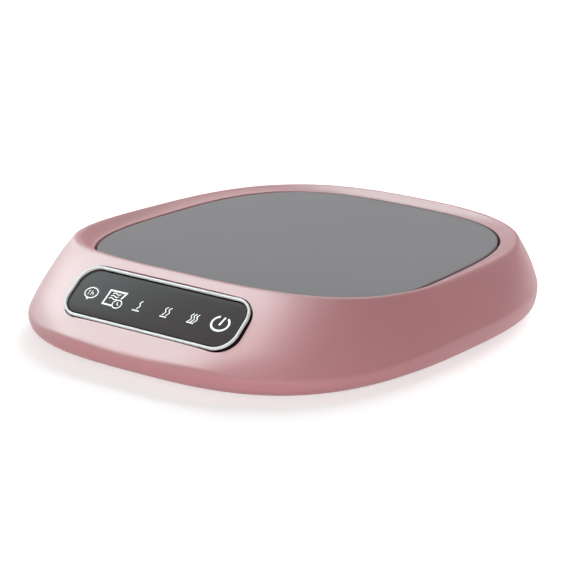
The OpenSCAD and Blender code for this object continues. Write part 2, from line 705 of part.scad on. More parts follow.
module main_board() {
    color(board_green) difference() {
        translate([0, board_y, board_z]) block(board_w, board_d, board_t);
        for (p = board_holes) translate([p[0], p[1], board_z - eps])
            cylinder(h = board_t + 2 * eps, r = small_screw_r + 0.2);
    }
}
module control_chip() {
    color(soft_black) translate([-8, board_y + 2, board_top]) block(7, 7, 1.2);
}
module heater_mosfet() {
    color(soft_black) translate([12, board_y + 8, board_top]) block(6.5, 6, 2.2);
}
module inductor() {
    color([0.25, 0.25, 0.26]) translate([2, board_y + 9, board_top]) difference() {
        block(7, 7, 3);
        translate([0, 0, 2.6]) difference() {
            cylinder(h = 1, r = 3);
            translate([0, 0, -eps]) cylinder(h = 1 + 2 * eps, r = 1.6);
        }
    }
}
module capacitor() {
    color(silver) translate([-18, board_y + 9, board_top + 1.8]) rotate([0, 90, 0])
        translate([0, 0, -4]) cylinder(h = 8, r = 1.8);
}
module buzzer() {
    color(soft_black) translate([16, board_y - 8, board_top]) difference() {
        cylinder(h = 3, r = 4.5);
        translate([0, 0, 2]) cylinder(h = 2, r = 0.8);
    }
}
module board_screws() {
    color(steel) for (p = board_holes) translate([p[0], p[1], board_top + small_head_h])
        screw(small_screw_r, board_t + 2.2, small_head_r, small_head_h);
}
module heater_socket() {
    color(nylon_white) translate([heater_x, heater_y, board_top]) block(8, 4.5, heater_socket_h);
}
module heater_leads() {
    foot = board_top + heater_socket_h;
    rise = element_z - foot;
    color([0.80, 0.16, 0.14]) for (x = [-1, 1]) translate([heater_x + x * heater_pitch / 2, heater_y, foot])
        wire([[0, 0, 0], [0, 0, rise * 0.2], [0, 0.5, rise * 0.5], [0, 0, rise * 0.8], [0, 0, rise]],
             lead_r, 10);
}
module sensor_socket() {
    color(nylon_white) translate([probe_x, sensor_y, board_top]) block(5, 4, heater_socket_h);
}
module sensor_leads() {
    foot = board_top + heater_socket_h;
    start_z = element_z - probe_r;
    start_y = plate_y + probe_l / 2;
    color([0.20, 0.35, 0.75]) for (x = [-1, 1]) translate([probe_x + x * sensor_pitch / 2, 0, 0])
        wire([[0, start_y, start_z], [0, start_y + 0.5, start_z], [0, start_y + 1.4, start_z - 0.8],
              [0, sensor_y - 1, foot + 1.6], [0, sensor_y - 0.8, foot + 0.5],
              [0, sensor_y - 0.8, foot]], sensor_lead_r, 8);
}
module switch_body() {
    color(soft_black) translate([switch_x, switch_y, switch_base]) difference() {
        block(switch_w, switch_w, switch_body_h);
        translate([0, 0, switch_top - plunger_l - plate_travel - 0.2 - switch_base])
            cylinder(h = switch_body_h, r = plunger_r + plunger_fit);
    }
}
module switch_plunger() {
    color([0.75, 0.20, 0.18]) translate([switch_x, switch_y, switch_top - plunger_l])
        cylinder(h = plunger_l, r = plunger_r);
}

// --- power inlet and its leads ------------------------------------------------------------------
lead_socket_y = board_y + board_d / 2 - 3;
module inlet_body() {
    color(soft_black) difference() {
        translate([-inlet_w / 2, inlet_back, base_top]) cube([inlet_w, inlet_l, inlet_h]);
        translate([0, inlet_face + eps, inlet_zc]) rotate([90, 0, 0])
            cylinder(h = inlet_depth + eps, r = barrel_r);
    }
}
module inlet_pin() {
    color(silver) translate([0, inlet_face - 0.5, inlet_zc]) rotate([90, 0, 0])
        cylinder(h = inlet_depth - 0.5, r = inlet_pin_r);
}
module inlet_terminals() {
    color(silver) for (x = [-1, 1])
        translate([x * tab_x - tab_w / 2, inlet_back - tab_l, inlet_zc - tab_t / 2])
            cube([tab_w, tab_l, tab_t]);
}
module inlet_socket() {
    color(nylon_white) translate([0, lead_socket_y, board_top]) block(9, 4, 3);
}
module lead(x, tint) {
    far = inlet_back - tab_l;
    near = lead_socket_y + 2;
    mid = (far + near) / 2;
    low = board_top + 1.5;
    color(tint) wire([[x, far, inlet_zc], [x, far - 0.8, inlet_zc], [x, mid + 0.4, (inlet_zc + low) / 2],
                      [x, near + 0.8, low], [x, near, low]], lead_r, 10);
}
module lead_positive() { lead(tab_x, [0.75, 0.10, 0.10]); }
module lead_negative() { lead(-tab_x, soft_black); }

upper_housing();
base_cover();
foot_front_left();
foot_front_right();
foot_rear_left();
foot_rear_right();
base_screws();
glass_plate();
plate_adhesive();
heat_spreader();
heating_element();
insulation_pad();
plate_carrier();
carrier_screws();
thermistor();
thermal_cutout();
sensor_strap();
strap_screws();
return_spring_front_left();
return_spring_front_right();
return_spring_rear_left();
return_spring_rear_right();
panel_bezel();
panel_lens();
light_guide();
indicator_leds();
touch_spring_mode();
touch_spring_power();
panel_board();
touch_chip();
panel_board_screws();
panel_socket();
panel_ribbon();
ribbon_socket();
main_board();
control_chip();
heater_mosfet();
inductor();
capacitor();
buzzer();
board_screws();
heater_socket();
heater_leads();
sensor_socket();
sensor_leads();
switch_body();
switch_plunger();
inlet_body();
inlet_pin();
inlet_terminals();
inlet_socket();
lead_positive();
lead_negative();
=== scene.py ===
"""Electric mug warmer: the pieces that show, their finishes, the lamps and the camera.

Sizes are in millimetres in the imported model's frame, and become metres where a mesh is made.
+Z is up, the feet stand on z = 0 and the touch panel faces -Y.
"""

import json
import logging
import math
from dataclasses import dataclass, replace
from enum import Enum
from functools import cache
from typing import ClassVar

import bmesh
import bpy
import numpy as np
from bpy.types import Material, Node, NodeSocket, NodeTree, Object
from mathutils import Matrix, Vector


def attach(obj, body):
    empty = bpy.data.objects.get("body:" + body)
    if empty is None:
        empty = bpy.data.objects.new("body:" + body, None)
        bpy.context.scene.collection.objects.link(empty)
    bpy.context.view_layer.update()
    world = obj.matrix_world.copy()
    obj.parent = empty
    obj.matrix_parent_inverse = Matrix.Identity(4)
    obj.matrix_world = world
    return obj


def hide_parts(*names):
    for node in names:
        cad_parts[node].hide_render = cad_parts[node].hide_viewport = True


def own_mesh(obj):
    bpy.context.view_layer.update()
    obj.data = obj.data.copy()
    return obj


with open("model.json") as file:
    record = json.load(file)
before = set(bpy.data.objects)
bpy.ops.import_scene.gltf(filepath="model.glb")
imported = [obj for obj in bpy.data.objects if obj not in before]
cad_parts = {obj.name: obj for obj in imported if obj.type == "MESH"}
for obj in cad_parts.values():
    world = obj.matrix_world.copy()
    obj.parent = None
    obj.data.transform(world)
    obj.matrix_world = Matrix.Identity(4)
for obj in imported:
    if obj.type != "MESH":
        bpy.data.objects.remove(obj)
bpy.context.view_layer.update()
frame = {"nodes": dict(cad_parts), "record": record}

MM = 0.001
SEGMENTS = 360
WELD = 2e-6
FLAT_DEGREES = 0.6
SHARP_DEGREES = 40.0
BODY_OF = {node: body for body, nodes in frame["record"]["behaviour"]["bodies"].items()
           for node in nodes}
log = logging.getLogger("mug_warmer")


# --- forms shared by the pieces ----------------------------------------------------------------
def ease(value: np.ndarray | float) -> np.ndarray | float:
    """A smooth step from 0 to 1, held at its ends."""
    held = np.clip(value, 0.0, 1.0)
    return held * held * (3.0 - 2.0 * held)


@dataclass(frozen=True)
class Outline:
    """A rounded square in plan, at one height.

    taper narrows it to the back, fall lowers it to the back for each millimetre of depth, and
    dip lowers it at its sides.
    """

    half_w: float
    half_d: float
    exponent: float
    y: float = 0.0
    z: float = 0.0
    taper: float = 0.0
    fall: float = 0.0
    dip: float = 0.0

    def at(self, degrees: np.ndarray | float) -> np.ndarray:
        """Points of the outline at angles seen from its centre.

        Args:
            degrees: one angle or several.

        Returns:
            An array whose last axis holds x, y and z.
        """
        angle = np.radians(degrees)
        c, q = np.cos(angle), np.sin(angle)
        reach = (np.abs(c / self.half_w) ** self.exponent
                 + np.abs(q / self.half_d) ** self.exponent) ** (-1.0 / self.exponent)
        u, v = reach * c / self.half_w, reach * q / self.half_d
        return np.stack([self.half_w * u * (1.0 - self.taper * v), self.y + self.half_d * v,
                         self.z + self.fall * self.half_d * v - self.dip * u * u], axis=-1)

    def ring(self, count: int = SEGMENTS) -> np.ndarray:
        """The outline as evenly turned points, one in each row."""
        return self.at(np.arange(count) * 360.0 / count)

    def grown(self, by: float) -> "Outline":
        """The outline made wider by the same amount on each side."""
        return replace(self, half_w=self.half_w + by, half_d=self.half_d + by)

    def raised(self, by: float) -> "Outline":
        """The outline moved up."""
        return replace(self, z=self.z + by)

    def level(self, z: float) -> "Outline":
        """The outline laid flat at a height."""
        return replace(self, z=z, fall=0.0, dip=0.0)

    def mixed(self, other: "Outline", share: float) -> "Outline":
        """An outline part of the way to another, which it reaches at a share of 1."""
        return Outline(*(getattr(self, n) + (getattr(other, n) - getattr(self, n)) * share
                         for n in self.__dataclass_fields__))

    def inset(self, side: float, front: float) -> "Outline":
        """The outline moved in by one amount at the sides and back and another in front."""
        return replace(self, half_w=self.half_w - side, half_d=self.half_d - (side + front) / 2,
                       y=self.y + (front - side) / 2)


@dataclass(frozen=True)
class PanelPlane:
    """The plane in the front slope that the touch panel lies in."""

    y: float
    z: float
    tilt: float

    @property
    def normal(self) -> np.ndarray:
        """The direction straight out of the panel."""
        a = math.radians(self.tilt)
        return np.array([0.0, -math.sin(a), math.cos(a)])

    @property
    def up(self) -> np.ndarray:
        """The direction up the panel, in its own plane."""
        a = math.radians(self.tilt)
        return np.array([0.0, math.cos(a), math.sin(a)])

    def height(self, points: np.ndarray) -> np.ndarray:
        """How far points lie above the plane."""
        return (points - np.array([0.0, self.y, self.z])) @ self.normal

    def place(self, points: np.ndarray) -> np.ndarray:
        """Moves points from the panel's own axes into the frame.

        Args:
            points: rows of across, up and out, in millimetres.

        Returns:
            The points in the frame.
        """
        p = np.asarray(points, float)
        return (np.array([0.0, self.y, self.z]) + p[..., :1] * np.array([1.0, 0.0, 0.0])
                + p[..., 1:2] * self.up + p[..., 2:3] * self.normal)

    def lay(self, rows: list, across: float = 0.0) -> list:
        """Moves rings of points from the panel's own axes into the frame, and across by an amount."""
        return [self.place(row + np.array([across, 0.0, 0.0])) for row in rows]


@dataclass(frozen=True)
class Bar:
    """A rounded bar in the panel's own axes: width, height, corner and how far out it reaches."""

    w: float
    h: float
    r: float
    low: float
    high: float

    def grown(self, by: float) -> "Bar":
        """The bar made larger by the same amount all round."""
        return replace(self, w=self.w + 2 * by, h=self.h + 2 * by, r=self.r + by)

    def rows(self, corner_steps: int = 16) -> list:
        """Its lower and upper ring."""
        return bar_rows(self.w, self.h, self.r, [(0.0, self.low), (0.0, self.high)], corner_steps)


@dataclass(frozen=True)
class BodyForm:
    """The driving sizes of the body, and the outlines that shell and plate share.

    A power is an outline's exponent: 2 is an oval, and more is squarer. A pair such as edge_in
    goes in from the widest line, at the sides and at the ends. flat_in and flat_out say where
    along the slope the flat of the panel begins and ends, and over what share it does so.
    """

    body_w: float = 126.4
    body_d: float = 140.0
    body_power: float = 2.65
    body_taper: float = 0.009
    crease_z: float = 7.4
    wall: float = 2.2
    foot_h: float = 1.3
    low_y: float = -0.25
    tuck_in: tuple = (0.15, 0.45)
    tuck_share: float = 0.32
    edge_in: tuple = (4.25, 3.45)
    edge_power: float = 3.0
    plate_w: float = 100.0
    plate_d: float = 101.6
    plate_y: float = 7.3
    plate_z: float = 19.6
    plate_power: float = 3.07
    plate_taper: float = 0.052
    plate_gap: float = 0.7
    bevel_side: float = 4.45
    bevel_end: float = 3.05
    rim_power: float = 3.03
    rim_taper: float = 0.045
    rim_shift: float = -0.35
    rim_rise: float = 3.35
    rim_dip: float = 1.6
    rim_fall: float = 0.026
    rim_lip: float = 0.86
    lip_drop: float = 0.2
    bezel: Bar = Bar(58.7, 16.6, 6.1, -1.9, 0.42)
    panel_x: float = 0.45
    panel_screw_x: float = 30.4
    panel_share: float = 0.422
    panel_sink: float = 0.15
    panel_lean: float = 0.5
    slope_bulge: float = 0.49
    flat_skin: float = 0.26
    flat_in: tuple = (0.3, 0.55)
    flat_out: tuple = (1.2, 0.5)
    flat_depth: float = 3.0
    flat_reach: float = 70.0
    flat_front: float = 30.0
    lean_front: float = 40.0
    crease_sag: float = 2.0
    sag_from: tuple = (6.0, 30.0)
    sag_to: tuple = (45.0, 85.0)
    boss_inset: float = 11.5
    boss_angles: tuple = (-47.0, -133.0, 47.0, 133.0)
    post_offset: float = 31.0

    def inside_at(self, inset: float, angle: float) -> np.ndarray:
        """The point that lies inside the widest line at an angle, as x and y."""
        return self.crease.inset(inset, inset).at(angle)[:2]

    @property
    def glass(self) -> Outline:
        """Edge of the glass plate."""
        return Outline(self.plate_w / 2, self.plate_d / 2, self.plate_power, self.plate_y, self.plate_z,
                       self.plate_taper)

    @property
    def opening(self) -> Outline:
        """Edge of the hole that the glass floats in."""
        return self.glass.grown(self.plate_gap)

    @property
    def crest(self) -> Outline:
        """Top line of the rim.

        Returns:
            The outline, which falls to the back and at its sides.
        """
        return Outline(self.opening.half_w + self.bevel_side, self.opening.half_d + self.bevel_end,
                       self.rim_power, self.plate_y + self.rim_shift, self.plate_z + self.rim_rise,
                       self.rim_taper, -self.rim_fall, self.rim_dip)

    @property
    def shoulder(self) -> Outline:
        """Line where the rim's lip turns into the slope."""
        return self.crest.grown(self.rim_lip).raised(-self.lip_drop)

    @property
    def crease(self) -> Outline:
        """Widest line of the body."""
        return Outline(self.body_w / 2, self.body_d / 2, self.body_power, 0.0, self.crease_z,
                       self.body_taper)

    @property
    def tuck(self) -> Outline:
        """Line where the side turns under.

        Returns:
            The outline, between the widest line and the lower edge.
        """
        side, end = self.tuck_in
        return Outline(self.body_w / 2 - side, self.body_d / 2 - end, self.body_power, self.low_y,
                       self.foot_h + (self.crease_z - self.foot_h) * self.tuck_share, self.body_taper)

    @property
    def edge(self) -> Outline:
        """Lower edge of the shell.

        Returns:
            The outline, at the height of the feet.
        """
        side, end = self.edge_in
        return Outline(self.body_w / 2 - side, self.body_d / 2 - end, self.edge_power, self.low_y,
                       self.foot_h, self.body_taper)

    @property
    def panel(self) -> PanelPlane:
        """Plane of the touch panel.

        Returns:
            The plane, close to the chord of the front slope.
        """
        lip, low = self.shoulder.at(-90.0), self.crease.at(-90.0)
        tilt = math.degrees(math.atan2(lip[2] - low[2], lip[1] - low[1])) + self.panel_lean
        a, way = math.radians(tilt), low - lip
        return PanelPlane(lip[1] + way[1] * self.panel_share + self.panel_sink * math.sin(a),
                          lip[2] + way[2] * self.panel_share - self.panel_sink * math.cos(a), tilt)

    def ahead(self, row: np.ndarray, depth: float) -> np.ndarray:
        """How far each point counts as the front, from 0 to 1, fully so at a depth from the middle."""
        return ease(-row[:, 1] / depth) * (1.0 - ease(np.abs(row[:, 0]) / self.flat_reach))

    def pressed(self, row: np.ndarray, share: float, lift: float = 0.0) -> np.ndarray:
        """A row of points, pressed towards the panel's plane in front.

        The middle of the front lies on the plane, and the skin falls away from it softly to both
        sides, so that the front stays one smooth curve.

        Args:
            row: the points.
            share: where the row lies, 0 at the rim's lip and 1 at the widest line.
            lift: how far the row lies inside the skin.

        Returns:
            The moved points.
        """
        plane = self.panel
        behind = np.maximum(self.flat_skin - plane.height(row + plane.normal * lift), 0.0)
        (early, rise), (late, fade) = self.flat_in, self.flat_out
        along = ease((share + early) / rise) * ease((late - share) / fade)
        depth = self.flat_depth * along * self.ahead(row, self.flat_front) + 1e-6
        return row + plane.normal * (depth * (1.0 - np.exp(-behind / depth)))[:, None]

    def sag(self, share: float) -> np.ndarray:
        """How the widest line hangs lower at the two front corners than in the middle.

        Args:
            share: how much of it a ring takes, 1 at the widest line.

        Returns:
            The offset of each point of the ring.
        """
        away = np.abs((np.arange(SEGMENTS) * 360.0 / SEGMENTS - 90.0) % 360.0 - 180.0)
        (low, high), (end, gone) = self.sag_from, self.sag_to
        drop = ease((away - low) / (high - low)) * (1.0 - ease((away - end) / (gone - end)))
        return np.outer(drop, [0.0, 0.0, -self.crease_sag * share])

    def slope(self, share: float, side: float = 0.0, front: float = 0.0) -> np.ndarray:
        """One row of points on the slope from the rim down to the widest line.

        Args:
            share: 0 at the rim's lip and 1 at the widest line.
            side: how far the row lies inside the skin at the sides.
            front: how far it lies inside the skin in front.

        Returns:
            The row, pressed towards the panel's plane in front.
        """
        bow = self.slope_bulge * 4.0 * share * (1.0 - share)
        line = self.shoulder.mixed(self.crease, share)
        full = line.grown(bow).inset(side, front).ring() + self.sag(share)
        lean = line.inset(side, front).ring() + self.sag(share)
        flat = full + (lean - full) * self.ahead(full, self.lean_front)[:, None]
        return self.pressed(flat, share, self.wall if front else 0.0)


# --- mesh helpers ----------------------------------------------------------------------------------
class Solver(Enum):
    """How two closed meshes are put together."""

    JOIN = "UNION"
    CUT = "DIFFERENCE"


def linked(name: str, data: bpy.types.ID) -> Object:
    """Makes an object at the origin and puts it in the scene.

    Args:
        name: the object's name.
        data: its mesh, lamp or camera.

    Returns:
        The object.
    """
    thing = bpy.data.objects.new(name, data)
    bpy.context.scene.collection.objects.link(thing)
    return thing


def mesh_object(name: str, points: np.ndarray, faces: list, edges: list = ()) -> Object:
    """Makes an object from points in millimetres.

    Args:
        name: the object's name.
        points: rows of x, y and z.
        faces: index tuples, outward by the right-hand rule.
        edges: index pairs of a path that has no faces.

    Returns:
        The linked object, at the origin.
    """
    mesh = bpy.data.meshes.new(name)
    mesh.from_pydata((np.asarray(points, float) * MM).tolist(), list(edges), faces)
    mesh.update()
    return linked(name, mesh)


def ring_faces(rows: int, count: int, wrap: bool = False) -> list:
    """Faces between neighbouring rings of points.

    Args:
        rows: how many rings.
        count: points in each ring.
        wrap: whether the last ring meets the first.

    Returns:
        Four-cornered faces.
    """
    faces = []
    for i in range(rows if wrap else rows - 1):
        below, above = i * count, ((i + 1) % rows) * count
        faces += [(below + k, below + (k + 1) % count, above + (k + 1) % count, above + k)
                  for k in range(count)]
    return faces


def tube(name: str, rows: list, wrap: bool = False) -> Object:
    """A closed skin through rings of points.

    Args:
        name: the object's name.
        rows: rings with the same number of points, counter-clockwise, lowest first.
        wrap: whether the last ring meets the first; otherwise both ends get a face.

    Returns:
        The object, its faces pointing out.
    """
    points, count = np.concatenate(rows), len(rows[0])
    faces = ring_faces(len(rows), count, wrap)
    if not wrap:
        last = (len(rows) - 1) * count
        faces += [tuple(reversed(range(count))), tuple(range(last, last + count))]
    return mesh_object(name, points, faces)


def between(rows: list, steps: int) -> list:
    """Rows on a smooth curve through key rows.

    Args:
        rows: the key rows, at least three.
        steps: how many rows in each gap.

    Returns:
        The key rows with new rows between them.
    """
    keys = [2 * rows[0] - rows[1], *rows, 2 * rows[-1] - rows[-2]]
    knots = np.cumsum([0.0] + [math.sqrt(np.linalg.norm(b - a, axis=1).mean())
                               for a, b in zip(keys, keys[1:])])
    made = []
    for i in range(1, len(keys) - 2):
        for t in np.linspace(knots[i], knots[i + 1], steps, endpoint=False):
            level = list(zip(knots[i - 1:i + 3], keys[i - 1:i + 3]))
            for span in (1, 2, 3):
                level = [(t0, ((knots[j + span] - t) * a + (t - t0) * b) / (knots[j + span] - t0))
                         for j, ((t0, a), (_, b)) in enumerate(zip(level, level[1:]), start=i - 1)]
            made.append(level[0][1])
    return made + [rows[-1]]


def bend(start: np.ndarray, corner: np.ndarray, end: np.ndarray, steps: int) -> list:
    """Rows that round off a corner, from the row before it to the row after it."""
    return [(1 - t) ** 2 * start + 2 * t * (1 - t) * corner + t * t * end
            for t in np.linspace(0.0, 1.0, steps + 1)]


def bar_rows(w: float, h: float, r: float, profile: list, corner_steps: int = 16) -> list:
    """Rings of a rounded bar whose edge follows a profile.

    Args:
        w: width at an inset of 0.
        h: height at an inset of 0.
        r: corner radius at an inset of 0.
        profile: pairs of inset and height.
        corner_steps: gaps in each corner's arc.

    Returns:
        One counter-clockwise ring for each pair.
    """
    rows = []
    for inset, z in profile:
        corner = max(r - inset, 0.02)
        x, y = w / 2 - inset - corner, h / 2 - inset - corner
        for turn, sx, sy in ((0, 1, 1), (90, -1, 1), (180, -1, -1), (270, 1, -1)):
            a = np.radians(np.linspace(turn, turn + 90, corner_steps + 1))
            rows.append(np.stack([sx * x + corner * np.cos(a), sy * y + corner * np.sin(a),
                                  np.full(len(a), z)], 1))
    return [np.concatenate(rows[i:i + 4]) for i in range(0, len(rows), 4)]


def round_rows(centre: tuple, profile: list, count: int = 64) -> list:
    """Rings of a turned form that stands on a point.

    Args:
        centre: x, y and z of the point.
        profile: pairs of radius and height above it.
        count: points in each ring.

    Returns:
        One ring for each pair.
    """
    a = np.arange(count) * 2 * math.pi / count
    return [np.array(centre) + np.stack([r * np.cos(a), r * np.sin(a), np.full(count, z)], 1)
            for r, z in profile]


def dome(r: float, top: float, rise: float) -> list:
    """The steps of a rounded end, as pairs of radius and height."""
    return [(r * math.cos(a), top - rise * (1 - math.sin(a)))
            for a in np.radians((20.0, 40.0, 60.0, 78.0))]


def settle(thing: Object) -> Object:
    """Turns what an object's modifiers make into its plain mesh.

    Args:
        thing: the object, which loses its modifiers.

    Returns:
        The same object.
    """
    graph = bpy.context.evaluated_depsgraph_get()
    made = bpy.data.meshes.new_from_object(thing.evaluated_get(graph))
    thing.modifiers.clear()
    used, thing.data = thing.data, made
    bpy.data.meshes.remove(used)
    return thing


def combine(body: Object, tools: list, how: Solver) -> None:
    """Joins closed meshes to a body or cuts them out of it.

    Args:
        body: the object that is changed.
        tools: the objects that are used up.
        how: whether they are joined or cut.
    """
    for tool in tools:
        step = body.modifiers.new("step", "BOOLEAN")
        step.operation, step.solver, step.object = how.value, "EXACT", tool
    settle(body)
    for tool in tools:
        bpy.data.meshes.remove(tool.data)


def soften(thing: Object, degrees: float = 32.0) -> Object:
    """Shades a mesh smooth, except at edges sharper than an angle.

    Args:
        thing: the object.
        degrees: the angle.

    Returns:
        The same object.
    """
    thing.data.shade_smooth()
    thing.data.set_sharp_from_angle(angle=math.radians(degrees))
    return thing


def dress(thing: Object, material: Material) -> None:
    """Gives an object one finish, through its material slots.

    Args:
        thing: the object.
        material: the finish.
    """
    if not thing.material_slots:
        thing.data.materials.append(material)
    for slot in thing.material_slots:
        slot.material = material


def stand_in(thing: Object, finish: "Finish", slot: str, *nodes: str) -> Object:
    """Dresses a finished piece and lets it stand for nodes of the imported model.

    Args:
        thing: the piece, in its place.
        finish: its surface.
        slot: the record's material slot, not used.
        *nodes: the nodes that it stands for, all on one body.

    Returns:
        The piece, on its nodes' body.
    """
    dress(thing, finish.material())
    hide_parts(*nodes)
    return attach(thing, BODY_OF[nodes[0]])


def eased_copy(node: str, finish: "Finish", slot: str, soft: float = 0.12, steps: int = 2) -> Object:
    """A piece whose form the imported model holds, with its sharp edges taken off.

    Args:
        node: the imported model's node.
        finish: its surface.
        slot: the record's material slot.
        soft: how much the edges are taken off, in millimetres.
        steps: gaps in each rounded edge.

    Returns:
        The piece, on its node's body.
    """
    work = bmesh.new()
    work.from_mesh(frame["nodes"][node].data)
    bmesh.ops.remove_doubles(work, verts=work.verts, dist=WELD)
    bmesh.ops.dissolve_limit(work, angle_limit=math.radians(FLAT_DEGREES), verts=work.verts,
                             edges=work.edges)
    mesh = bpy.data.meshes.new(node)
    work.to_mesh(mesh)
    work.free()
    for layer in [a for a in mesh.attributes if a.name in ("custom_normal", "sharp_edge", "sharp_face")]:
        mesh.attributes.remove(layer)
    thing = linked(node + "_piece", mesh)
    bevel = thing.modifiers.new("edges", "BEVEL")
    bevel.width, bevel.segments = soft * MM, steps
    bevel.limit_method, bevel.angle_limit = "ANGLE", math.radians(SHARP_DEGREES)
    return stand_in(soften(settle(thing), 35.0), finish, slot, node)


def eased_copies(*rows: tuple) -> list:
    """Eased copies of several nodes, each row the arguments of one."""
    return [eased_copy(*row) for row in rows]


# --- node trees --------------------------------------------------------------------------------------
class Wiring:
    """A node tree, with short calls that add its nodes and link them."""

    def __init__(self, tree: NodeTree) -> None:
        """Keeps the tree."""
        self.tree = tree

    def feed(self, node: Node, inputs: dict) -> Node:
        """Sets or links a node's inputs.

        Args:
            node: the node.
            inputs: its inputs by name or number, each a value, a socket or a list of sockets.

        Returns:
            The node.
        """
        for label, values in inputs.items():
            for value in values if isinstance(values, list) else [values]:
                if isinstance(value, NodeSocket):
                    self.tree.links.new(value, node.inputs[label])
                else:
                    node.inputs[label].default_value = value
        return node

    def node(self, kind: str, inputs: dict, **settings: object) -> Node:
        """Adds a node.

        Args:
            kind: the node's type.
            inputs: its inputs, as feed takes them.
            **settings: its properties.

        Returns:
            The node.
        """
        node = self.tree.nodes.new(kind)
        for label, value in settings.items():
            setattr(node, label, value)
        return self.feed(node, inputs)

    def add(self, kind: str, inputs: dict, **settings: object) -> NodeSocket:
        """Adds a node and gives its first output."""
        return self.node(kind, inputs, **settings).outputs[0]

    def maths(self, operation: str, *values: object) -> NodeSocket:
        """Adds a maths node on numbers or sockets."""
        return self.add("ShaderNodeMath", dict(enumerate(values)), operation=operation)

    def noise(self, where: NodeSocket, scale: object, detail: float, roughness: float) -> NodeSocket:
        """Adds a noise texture and gives its tone, from 0 to 1."""
        return self.add("ShaderNodeTexNoise", {"Vector": where, "Scale": scale, "Detail": detail,
                                               "Roughness": roughness})

    def mixed(self, mask: NodeSocket, under: NodeSocket, over: object) -> NodeSocket:
        """Lays a colour over another where a mask is 1."""
        return self.node("ShaderNodeMix", {0: mask, 6: under, 7: over}, data_type="RGBA").outputs[2]

    def effect(self, group: NodeTree, where: NodeSocket, inputs: dict) -> dict:
        """Places a shared effect that reads a position, and gives its outputs by name."""
        node = self.node("ShaderNodeGroup", {"Position": where, **inputs}, node_tree=group)
        return dict(node.outputs.items())


class Group(Wiring):
    """A node group with named inputs and outputs."""

    def __init__(self, name: str, kind: str, inputs: dict, outputs: dict) -> None:
        """Makes the group and its sockets.

        Args:
            name: the group's name.
            kind: the tree's type.
            inputs: for each input its default value, or its kind as a word.
            outputs: for each output its kind.
        """
        super().__init__(bpy.data.node_groups.new(name, kind))
        kinds, self.keys = {int: "Int", float: "Float", tuple: "Vector"}, {}
        for way, sockets in (("INPUT", inputs), ("OUTPUT", outputs)):
            for label, value in sockets.items():
                word = value if isinstance(value, str) else kinds[type(value)]
                socket = self.tree.interface.new_socket(label, in_out=way,
                                                        socket_type="NodeSocket" + word)
                if word is not value:
                    socket.default_value = value
                if way == "INPUT":
                    self.keys[label] = socket.identifier
        self.size = self.tree.nodes.new("NodeGroupInput").outputs
        self.out = self.tree.nodes.new("NodeGroupOutput")

    def end(self, **results: NodeSocket) -> NodeTree:
        """Links the group's outputs by name and gives its tree."""
        self.feed(self.out, results)
        return self.tree


